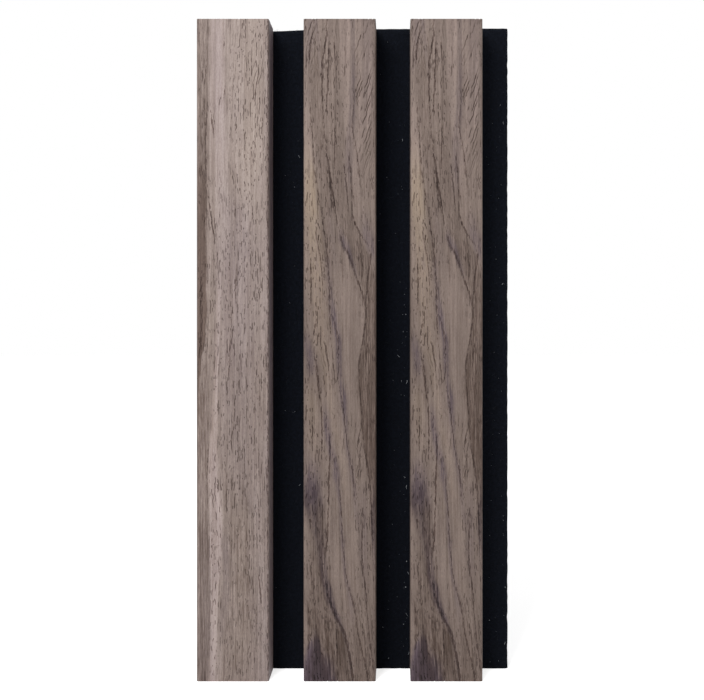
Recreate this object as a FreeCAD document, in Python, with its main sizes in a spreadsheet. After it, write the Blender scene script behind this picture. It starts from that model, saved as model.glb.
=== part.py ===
"""Acoustic slat wall panel, cut to a sample length.

Three slats stand upright on a board of black needled felt. Each slat is a bar of fibreboard with a
sheet of walnut veneer folded round its front and sides. Two beads of glue hold it to the felt, and
wire staples driven through the felt from the wall side clamp it while the glue sets.

X runs across the slats to the right, Y runs from the room into the wall, and Z runs up the slats.
The origin is the middle of the wall face. Lengths are in millimetres.
"""

import FreeCAD, Part
import Sketcher
import math
import os

SIZES = [
    # The panel as it is cut
    ("panelLength", 248.0, "saw cut to saw cut, along the slats"),
    ("slatWidth", 27.0, "face of a slat, over its veneer"),
    ("slatGap", 13.0, "open felt between two slats"),
    ("slatDepth", 12.0, "back of a slat to its face, over its veneer"),
    ("feltThickness", 9.0, "wall face of the felt to its front"),
    ("feltLap", 10.5, "felt left bare beside the right-hand slat"),
    # The slat's skin
    ("veneerThickness", 0.6, "veneer with its fleece backing"),
    ("coreArris", 0.4, "rounding of the core's front edges, under the veneer"),
    # The glue
    ("glueThickness", 0.3, "bead after pressing, felt to slat"),
    ("beadWidth", 3.5, "bead after pressing, side to side"),
    ("beadRounding", 0.12, "rounding where the bead bulges out at its sides"),
    # The staples
    ("staplesPerSlat", 4, "staples along one slat"),
    ("stapleInset", 19.0, "saw cut to the nearest staple"),
    ("crownWidth", 12.8, "outside width of a staple"),
    ("legLength", 16.0, "crown to point, outside"),
    ("wireThickness", 0.65, "wire in the plane of the staple"),
    ("wireWidth", 0.95, "wire across the plane of the staple"),
    ("bendRadius", 0.5, "inside of the bend between crown and leg"),
    ("pointLength", 1.4, "taper of a leg to its chisel point"),
    ("pointWidth", 0.15, "chisel edge that the taper ends in"),
    ("crownSink", 0.4, "crown below the wall face of the felt"),
    ("slitClearance", 0.05, "wall of a slit to the wire in it"),
]

SLATS = ["left", "middle", "right"]

# Depths, from the wall face at zero to the face of the slats
FELT_FRONT = "-Sizes.feltThickness"
SLAT_BACK = "-(Sizes.feltThickness + Sizes.glueThickness)"
SLAT_FACE = "-(Sizes.feltThickness + Sizes.glueThickness + Sizes.slatDepth)"
CORE_FACE = f"({SLAT_FACE} + Sizes.veneerThickness)"
CROWN_TOP = "-Sizes.crownSink"
CROWN_SEAT = "-(Sizes.crownSink + Sizes.wireThickness)"
LEG_SHOULDER = "-(Sizes.crownSink + Sizes.legLength - Sizes.pointLength)"
LEG_TIP = "-(Sizes.crownSink + Sizes.legLength)"

# Half widths, from the middle of a slat
SLAT_SIDE = "Sizes.slatWidth / 2"
CORE_SIDE = "(Sizes.slatWidth / 2 - Sizes.veneerThickness)"
LEG_OUTSIDE = "Sizes.crownWidth / 2"
LEG_INSIDE = "(Sizes.crownWidth / 2 - Sizes.wireThickness)"
SLIT_OUTSIDE = "(Sizes.crownWidth / 2 + Sizes.slitClearance)"
SLIT_INSIDE = "(Sizes.crownWidth / 2 - Sizes.wireThickness - Sizes.slitClearance)"

# Places across the whole panel, from its middle
PANEL_SIDE = (
    f"({len(SLATS)} * Sizes.slatWidth + {len(SLATS) - 1} * Sizes.slatGap + Sizes.feltLap) / 2"
)
SLAT_PITCH = "(Sizes.slatWidth + Sizes.slatGap)"

# Places up the panel, from its middle
FIRST_STAPLE = "(Sizes.stapleInset - Sizes.panelLength / 2)"
STAPLE_SPACING = "(Sizes.panelLength - 2 * Sizes.stapleInset) / (Sizes.staplesPerSlat - 1)"


def write_sizes(doc):
    """Spreadsheet of the driving dimensions: name, value and meaning."""
    sheet = doc.addObject("Spreadsheet::Sheet", "Sizes")
    for row, (alias, value, meaning) in enumerate(SIZES, start=1):
        sheet.set(f"A{row}", alias)
        sheet.set(f"B{row}", str(value))
        sheet.set(f"C{row}", meaning)
        sheet.setAlias(f"B{row}", alias)
    doc.recompute()


def slat_centre(place):
    """Middle of a slat across the panel, counting the slats from the left."""
    return f"{SLAT_SIDE} - {PANEL_SIDE} + {place} * {SLAT_PITCH}"


def new_body(doc, label, across=None):
    """Empty body. across is where the zero of its own X lies on the panel."""
    body = doc.addObject("PartDesign::Body", label)
    body.Label = label
    if across:
        body.setExpression(".Placement.Base.x", across)
    return body


def origin_feature(body, role):
    """Axis or plane of the body's own origin."""
    return next(f for f in body.Origin.OriginFeatures if f.Role == role)


def section(body, name, height=None):
    """Sketch of a section across the slats, at a height up the panel."""
    sketch = body.newObject("Sketcher::SketchObject", name)
    sketch.AttachmentSupport = [(origin_feature(body, "XY_Plane"), "")]
    sketch.MapMode = "FlatFace"
    if height:
        sketch.setExpression(".AttachmentOffset.Base.z", height)
    return sketch


def value_of(sketch, expression):
    return float(sketch.evalExpression(expression))


def dimension(sketch, kind, *geometry, to):
    """Dimension that follows the expression to."""
    number = sketch.addConstraint(Sketcher.Constraint(kind, *geometry, value_of(sketch, to)))
    sketch.setExpression(f"Constraints[{number}]", to)


def square_corner(sketch, before, after, across, depth):
    """Joins two lines at a sharp corner."""
    sketch.addConstraint(Sketcher.Constraint("Coincident", before, 2, after, 1))
    dimension(sketch, "DistanceX", -1, 1, after, 1, to=across)
    dimension(sketch, "DistanceY", -1, 1, after, 1, to=depth)


def round_corner(sketch, before, after, across, depth, radius):
    """Joins an upright and a level line, in either order, by an arc tangent to both."""
    corner = FreeCAD.Vector(value_of(sketch, across), value_of(sketch, depth))
    entry = sketch.Geometry[before].EndPoint
    leave = sketch.Geometry[after].StartPoint
    centre = entry + leave - corner
    turns_left = (corner - entry).cross(leave - corner).z > 0
    first = entry - centre if turns_left else leave - centre
    angle = math.atan2(first.y, first.x)
    circle = Part.Circle(centre, FreeCAD.Vector(0, 0, 1), first.Length)
    arc = sketch.addGeometry(Part.ArcOfCircle(circle, angle, angle + math.pi / 2))
    start, end = (1, 2) if turns_left else (2, 1)
    sketch.addConstraint(Sketcher.Constraint("Tangent", before, 2, arc, start))
    sketch.addConstraint(Sketcher.Constraint("Tangent", arc, end, after, 1))
    dimension(sketch, "Radius", arc, to=radius)
    upright, level = (before, 2), (after, 1)
    if abs(entry.y - corner.y) < abs(entry.x - corner.x):
        upright, level = level, upright
    dimension(sketch, "DistanceX", -1, 1, *upright, to=across)
    dimension(sketch, "DistanceY", -1, 1, *level, to=depth)


def outline(sketch, corners):
    """Closed outline. A corner is (across, depth), with a radius behind them if it is rounded."""
    points = [
        FreeCAD.Vector(value_of(sketch, across), value_of(sketch, depth))
        for across, depth, *_ in corners
    ]
    setbacks = [value_of(sketch, radius[0]) if radius else 0.0 for _, _, *radius in corners]
    lines = []
    for number, start in enumerate(points):
        following = (number + 1) % len(points)
        end = points[following]
        along = (end - start).normalize()
        begin = start + along * setbacks[number]
        finish = end - along * setbacks[following]
        lines.append(sketch.addGeometry(Part.LineSegment(begin, finish)))
    for number, corner in enumerate(corners):
        join = square_corner if len(corner) == 2 else round_corner
        join(sketch, lines[number - 1], lines[number], *corner)


def extrude(body, kind, sketch, height):
    """Pad or Pocket of the sketch, half of the height each way."""
    feature = body.newObject(f"PartDesign::{kind}", kind)
    feature.Profile = sketch
    feature.SideType = "Symmetric"
    feature.setExpression(".Length", height)
    return feature


def repeat_up_the_slat(body, feature):
    """One copy of the feature for each staple."""
    pattern = body.newObject("PartDesign::LinearPattern", "StaplesUpTheSlat")
    pattern.Originals = [feature]
    pattern.Direction = (origin_feature(body, "Z_Axis"), [""])
    pattern.Mode = "Spacing"
    pattern.setExpression(".Offset", STAPLE_SPACING)
    pattern.setExpression(".Occurrences", "Sizes.staplesPerSlat")
    body.Tip = pattern


def felt_backing(doc):
    """Felt board, with a slit in the form of a staple wherever one was driven."""
    body = new_body(doc, "felt_backing")
    board = section(body, "Board")
    outline(
        board,
        [
            (f"-{PANEL_SIDE}", FELT_FRONT),
            (PANEL_SIDE, FELT_FRONT),
            (PANEL_SIDE, "0"),
            (f"-{PANEL_SIDE}", "0"),
        ],
    )
    extrude(body, "Pad", board, "Sizes.panelLength")

    # The felt between two legs reaches up to the crown, and is rounded inside its bends.
    slits = section(body, "StapleSlits", FIRST_STAPLE)
    inside_bend = "Sizes.bendRadius - Sizes.slitClearance"
    for place in range(len(SLATS)):
        centre = slat_centre(place)
        outline(
            slits,
            [
                (f"{centre} - {SLIT_OUTSIDE}", "0"),
                (f"{centre} - {SLIT_OUTSIDE}", FELT_FRONT),
                (f"{centre} - {SLIT_INSIDE}", FELT_FRONT),
                (f"{centre} - {SLIT_INSIDE}", CROWN_SEAT, inside_bend),
                (f"{centre} + {SLIT_INSIDE}", CROWN_SEAT, inside_bend),
                (f"{centre} + {SLIT_INSIDE}", FELT_FRONT),
                (f"{centre} + {SLIT_OUTSIDE}", FELT_FRONT),
                (f"{centre} + {SLIT_OUTSIDE}", "0"),
            ],
        )
    cut = extrude(body, "Pocket", slits, "Sizes.wireWidth + 2 * Sizes.slitClearance")
    repeat_up_the_slat(body, cut)
    return body


def slat_core(doc, name, place):
    """Fibreboard bar inside the veneer, with the blind slits that the staple legs made."""
    body = new_body(doc, f"{name}_slat_core", slat_centre(place))
    bar = section(body, "Bar")
    outline(
        bar,
        [
            (f"-{CORE_SIDE}", CORE_FACE, "Sizes.coreArris"),
            (CORE_SIDE, CORE_FACE, "Sizes.coreArris"),
            (CORE_SIDE, SLAT_BACK),
            (f"-{CORE_SIDE}", SLAT_BACK),
        ],
    )
    extrude(body, "Pad", bar, "Sizes.panelLength")

    slits = section(body, "LegSlits", FIRST_STAPLE)
    slit_end = f"({LEG_TIP} - Sizes.slitClearance)"
    for sign in ("-", ""):
        outline(
            slits,
            [
                (f"{sign}{SLIT_OUTSIDE}", slit_end),
                (f"{sign}{SLIT_INSIDE}", slit_end),
                (f"{sign}{SLIT_INSIDE}", SLAT_BACK),
                (f"{sign}{SLIT_OUTSIDE}", SLAT_BACK),
            ],
        )
    cut = extrude(body, "Pocket", slits, "Sizes.wireWidth + 2 * Sizes.slitClearance")
    repeat_up_the_slat(body, cut)
    return body


def slat_veneer(doc, name, place):
    """Veneer folded round the front and both sides of the core, and cut flush with its back."""
    body = new_body(doc, f"{name}_slat_veneer", slat_centre(place))
    outer_arris = "Sizes.coreArris + Sizes.veneerThickness"
    fold = section(body, "Fold")
    outline(
        fold,
        [
            (f"-{SLAT_SIDE}", SLAT_BACK),
            (f"-{SLAT_SIDE}", SLAT_FACE, outer_arris),
            (SLAT_SIDE, SLAT_FACE, outer_arris),
            (SLAT_SIDE, SLAT_BACK),
            (CORE_SIDE, SLAT_BACK),
            (CORE_SIDE, CORE_FACE, "Sizes.coreArris"),
            (f"-{CORE_SIDE}", CORE_FACE, "Sizes.coreArris"),
            (f"-{CORE_SIDE}", SLAT_BACK),
        ],
    )
    extrude(body, "Pad", fold, "Sizes.panelLength")
    return body


def glue_bead(doc, name, place, side, sign):
    """Bead of glue pressed flat, midway between the staple legs and one side of the slat."""
    middle = f"({LEG_OUTSIDE} + {SLAT_SIDE}) / 2"
    across = f"{slat_centre(place)} {sign} {middle}"
    body = new_body(doc, f"{name}_slat_{side}_glue_bead", across)
    bead = section(body, "Bead")
    outline(
        bead,
        [
            ("-Sizes.beadWidth / 2", SLAT_BACK, "Sizes.beadRounding"),
            ("Sizes.beadWidth / 2", SLAT_BACK, "Sizes.beadRounding"),
            ("Sizes.beadWidth / 2", FELT_FRONT, "Sizes.beadRounding"),
            ("-Sizes.beadWidth / 2", FELT_FRONT, "Sizes.beadRounding"),
        ],
    )
    extrude(body, "Pad", bead, "Sizes.panelLength")
    return body


def staples(doc, name, place):
    """The staples of one slat: bent wire, a crown with two chisel-pointed legs."""
    body = new_body(doc, f"{name}_slat_staples", slat_centre(place))
    body.AllowCompound = True
    wire = section(body, "Wire", FIRST_STAPLE)
    middle = f"({LEG_OUTSIDE} - Sizes.wireThickness / 2)"
    outer_bend = "Sizes.bendRadius + Sizes.wireThickness"
    right_leg = [
        (LEG_INSIDE, CROWN_SEAT, "Sizes.bendRadius"),
        (LEG_INSIDE, LEG_SHOULDER),
        (f"({middle} - Sizes.pointWidth / 2)", LEG_TIP),
        (f"({middle} + Sizes.pointWidth / 2)", LEG_TIP),
        (LEG_OUTSIDE, LEG_SHOULDER),
        (LEG_OUTSIDE, CROWN_TOP, outer_bend),
    ]
    left_leg = [(f"-{across}", *rest) for across, *rest in reversed(right_leg)]
    outline(wire, right_leg + left_leg)
    one = extrude(body, "Pad", wire, "Sizes.wireWidth")
    repeat_up_the_slat(body, one)
    return body


def check(doc, bodies):
    """Stops if a feature failed or a piece has no sound solid."""
    failed = [o.Label for o in doc.Objects if "Invalid" in o.State or "Error" in o.State]
    if failed:
        raise RuntimeError(f"these did not build: {failed}")
    for body in bodies:
        shape = body.Shape
        if shape.isNull() or not shape.isValid() or not shape.Solids:
            raise RuntimeError(f"{body.Label} has no sound solid")
        for feature in body.Group:
            if feature.TypeId == "PartDesign::Pocket":
                if feature.Shape.Volume >= feature.BaseFeature.Shape.Volume:
                    raise RuntimeError(f"a slit in {body.Label} cuts nothing")


def build():
    doc = FreeCAD.newDocument("slat_wall_panel")
    write_sizes(doc)
    bodies = [felt_backing(doc)]
    for place, name in enumerate(SLATS):
        bodies.append(slat_core(doc, name, place))
        bodies.append(slat_veneer(doc, name, place))
        bodies.append(glue_bead(doc, name, place, "left", "-"))
        bodies.append(glue_bead(doc, name, place, "right", "+"))
        bodies.append(staples(doc, name, place))
    doc.recompute()
    check(doc, bodies)
    os.makedirs("parts", exist_ok=True)
    for body in bodies:
        body.Shape.exportStep(f"parts/{body.Label}.step")
        count = len(body.Shape.Solids)
        print(f"{body.Label}: solids {count}, volume {body.Shape.Volume:.1f} mm3")


build()
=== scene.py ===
"""Looks for the acoustic slat wall panel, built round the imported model.

The panel stands on its lower end: +Z runs up along the slats, +Y goes out of the back into the wall, and
the origin is in the middle of the felt's wall face. Blender works in metres, and sizes written in
millimetres are multiplied by MM.
"""

import math
import random

import bmesh
import bpy
import numpy as np
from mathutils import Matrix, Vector, noise


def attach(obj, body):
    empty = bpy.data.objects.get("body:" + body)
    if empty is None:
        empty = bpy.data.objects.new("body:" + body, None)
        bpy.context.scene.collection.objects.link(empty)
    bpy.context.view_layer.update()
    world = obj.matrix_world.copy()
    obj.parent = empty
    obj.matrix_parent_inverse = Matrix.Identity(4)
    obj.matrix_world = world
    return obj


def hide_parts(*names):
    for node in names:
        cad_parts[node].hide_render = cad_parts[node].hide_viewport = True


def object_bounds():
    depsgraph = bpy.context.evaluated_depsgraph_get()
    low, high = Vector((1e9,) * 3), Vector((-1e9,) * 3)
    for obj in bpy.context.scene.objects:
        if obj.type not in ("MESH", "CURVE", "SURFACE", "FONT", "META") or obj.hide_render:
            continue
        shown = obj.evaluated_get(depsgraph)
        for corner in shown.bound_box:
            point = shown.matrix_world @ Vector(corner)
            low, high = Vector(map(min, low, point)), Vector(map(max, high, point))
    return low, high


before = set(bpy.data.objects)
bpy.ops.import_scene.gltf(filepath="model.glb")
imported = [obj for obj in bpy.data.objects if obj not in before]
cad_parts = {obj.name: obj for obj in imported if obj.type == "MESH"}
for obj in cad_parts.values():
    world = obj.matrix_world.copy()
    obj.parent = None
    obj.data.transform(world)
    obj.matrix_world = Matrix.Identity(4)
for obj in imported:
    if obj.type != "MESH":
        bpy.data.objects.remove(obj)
cad_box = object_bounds()
MM = 0.001


# The slat cores are three bars of medium density fibreboard, planed on all sides, with a small arris along
# the front corners. They are sawn off with the felt, so their open ends show pressed fibre and saw marks.

CORE_BROWN = (0.30, 0.205, 0.125, 1)
CORE_PALE = (0.44, 0.32, 0.205, 1)
CORE_CRUST = (0.19, 0.125, 0.075, 1)
# Where the denser crust begins, and the face of the board that it ends at.
FRONT_CRUST = (-17.5, -20.7)
BACK_CRUST = (-12.3, -9.3)
CORES = ("left_slat_core", "middle_slat_core", "right_slat_core")


class Finish:
    """One material made from nodes: a shader, and the steps that lead to its colour, roughness and bump."""

    def __init__(self, name):
        self.material = bpy.data.materials.new(name)
        self.material.use_nodes = True
        self.tree = self.material.node_tree
        self.shader = self.tree.nodes["Principled BSDF"]

    def step(self, kind, inputs, **choices):
        """Adds a node, makes its choices, and fills its inputs with numbers or other nodes' outputs."""
        node = self.tree.nodes.new("ShaderNode" + kind)
        for choice, value in choices.items():
            setattr(node, choice, value)
        self.fill(node, inputs)
        return node

    def fill(self, node, inputs):
        for name, value in inputs.items():
            if isinstance(value, bpy.types.NodeSocket):
                self.tree.links.new(value, node.inputs[name])
            else:
                node.inputs[name].default_value = value

    def place(self):
        """The place on the object, in millimetres."""
        where = self.step("TexCoord", {}).outputs["Object"]
        return self.step("VectorMath", {0: where, "Scale": 1 / MM}, operation="SCALE").outputs[0]

    def painted(self, attribute):
        """A value or vector that the mesh carries at its points."""
        return self.step("Attribute", {}, attribute_name=attribute)

    def cloud(self, where, size, detail=2, roughness=0.5):
        """Soft noise from 0 to 1, with lumps of this size in millimetres along each axis."""
        per_mm = tuple(1 / s for s in size)
        scaled = self.step("VectorMath", {0: where, 1: per_mm}, operation="MULTIPLY").outputs[0]
        inputs = {"Vector": scaled, "Scale": 1, "Detail": detail, "Roughness": roughness}
        return self.step("TexNoise", inputs).outputs["Fac"]

    def soft_step(self, value, low, high, bottom=0, top=1):
        """Rises smoothly from bottom to top as the value goes from low to high."""
        inputs = {"Value": value, "From Min": low, "From Max": high, "To Min": bottom, "To Max": top}
        return self.step("MapRange", inputs, interpolation_type="SMOOTHSTEP").outputs["Result"]

    def sum(self, first, second):
        return self.step("Math", {0: first, 1: second}, operation="ADD").outputs[0]

    def times(self, first, second):
        return self.step("Math", {0: first, 1: second}, operation="MULTIPLY").outputs[0]

    def least(self, first, second):
        return self.step("Math", {0: first, 1: second}, operation="MINIMUM").outputs[0]

    def blend(self, amount, under, over, way="MIX"):
        """Lays one colour over another by an amount."""
        inputs = {0: amount, 6: under, 7: over}
        return self.step("Mix", inputs, data_type="RGBA", blend_type=way).outputs[2]

    def stain(self, amount, under, tint):
        """Multiplies a colour by a tint, by an amount."""
        return self.blend(amount, under, tint, "MULTIPLY")

    def bump(self, height, depth):
        """Relief of this depth in millimetres, from a height of 0 to 1."""
        inputs = {"Height": height, "Strength": 1, "Distance": depth * MM}
        self.fill(self.shader, {"Normal": self.step("Bump", inputs).outputs["Normal"]})


def fibreboard():
    """Pressed wood fibre, with a denser crust near the faces of the board and faint saw marks across it."""
    finish = Finish("fibreboard")
    place = finish.place()
    fibres = finish.cloud(place, (0.5, 0.35, 0.5), detail=4, roughness=0.7)
    clumps = finish.cloud(place, (2.6, 1.2, 2.6), detail=3)
    saw_marks = finish.cloud(place, (26, 0.45, 26), detail=1)
    axes = finish.step("SeparateXYZ", {"Vector": place})
    crusts = [finish.soft_step(axes.outputs["Y"], *crust) for crust in (FRONT_CRUST, BACK_CRUST)]
    crust = finish.times(finish.sum(*crusts), 0.55)
    ground = finish.blend(finish.soft_step(clumps, 0.3, 0.7), CORE_BROWN, CORE_PALE)
    crusted = finish.blend(crust, ground, CORE_CRUST)
    specks = finish.soft_step(fibres, 0.56, 0.68, 0, 0.55)
    speckled = finish.blend(specks, crusted, CORE_CRUST)
    marked = finish.blend(finish.soft_step(saw_marks, 0.45, 0.6, 0, 0.25), speckled, CORE_CRUST)
    finish.fill(finish.shader, {"Base Color": marked, "Specular IOR Level": 0.2})
    finish.fill(finish.shader, {"Roughness": finish.soft_step(fibres, 0.3, 0.7, 0.75, 0.95)})
    relief = finish.sum(finish.times(fibres, 0.7), finish.times(saw_marks, 0.6))
    finish.bump(relief, 0.12)
    return finish.material


def dress(node, material):
    """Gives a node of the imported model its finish."""
    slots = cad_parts[node].material_slots
    for slot in slots:
        slot.material = material
    if not slots:
        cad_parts[node].data.materials.append(material)


core_board = fibreboard()
for node in CORES:
    dress(node, core_board)


# Each slat is wrapped in one leaf of walnut veneer, folded round its front and sides and sealed with matt
# lacquer. The left leaf is pale and straight-grained. The other two were cut from a log one after the
# other, so they share a figure: grain that sweeps in from the left and runs down to the right.

SLAT_WIDTH = 27
SLAT_FRONT = -21.3
SLAT_BACK = -9.3
SLAT_HALF_LENGTH = 124
ARRIS = 0.65
VENEER_THICKNESS = 0.6
SLATS = {"left": -45.25, "middle": -5.25, "right": 34.75}
SIDE_LINES = 15
CORNER_LINES = 5
FACE_LINES = 110
LEAF_ROWS = 201
# Heights between which the figure leans most.
LEANING = ((15, 52), (-111, -82))
# How far a sawn end is pulled back: everywhere, at most where it is ragged, and where a chip broke off.
SAWN_BACK = 0.05
RAGGED = 0.09
CHIP = 0.3
CHIP_CHANCE = 0.52
RIPPLE = 0.015
# How far torn fibres push a colour's edge to the side, in long waves and in short ones.
TORN_LONG = 0.45
TORN_SHORT = 0.3
# How far apart unlike leaves lie in the wood, across the grain and along it.
APART = (40, 300)

# A fibre is a line of the grain that runs the whole length of the leaf: its height, then its distance to
# the right of the slat's middle. The number in front is where it would lie in a straight-grown leaf.
STRAIGHT_FIBRES = [
    (-10, [(124, -9.6), (62, -9.8), (45, -9.6), (20, -10.2), (2, -10.8), (-11, -11.4), (-40, -11),
           (-124, -10.6)]),
    (-6, [(124, -5), (60, -5.4), (20, -5.6), (0, -6), (-12, -6.8), (-30, -7), (-50, -7.3), (-70, -6.2),
          (-90, -6.8), (-124, -7.4)]),
    (2, [(124, 3.2), (100, 2.6), (70, 2), (40, 2.4), (0, 1.8), (-40, 2.2), (-80, 1.6), (-124, 1.2)]),
    (10, [(124, 11), (100, 10.6), (75, 10), (30, 10.4), (-20, 9.8), (-70, 10.4), (-124, 9.8)]),
]
SWEEPING_FIBRES = [
    (-14, [(124, -14.8), (60, -14.4), (0, -14), (-60, -13.6), (-124, -12.6)]),
    (-7, [(124, -7.7), (90, -7.4), (60, -6.4), (30, -5.5), (0, -4.9), (-30, -4.6), (-80, -4.2),
          (-105, -2.8), (-124, -1.4)]),
    (0, [(124, 0.3), (90, 0.6), (60, 1.5), (30, 2.6), (0, 2.5), (-30, 2.9), (-60, 3.4), (-90, 4.2),
         (-124, 6.4)]),
    (8, [(124, 9.4), (80, 8.6), (60, 8.8), (30, 9.8), (0, 9.2), (-30, 9), (-60, 9.6), (-90, 10.2),
         (-124, 12)]),
    (15, [(124, 16), (0, 15.8), (-124, 18)]),
]

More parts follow.
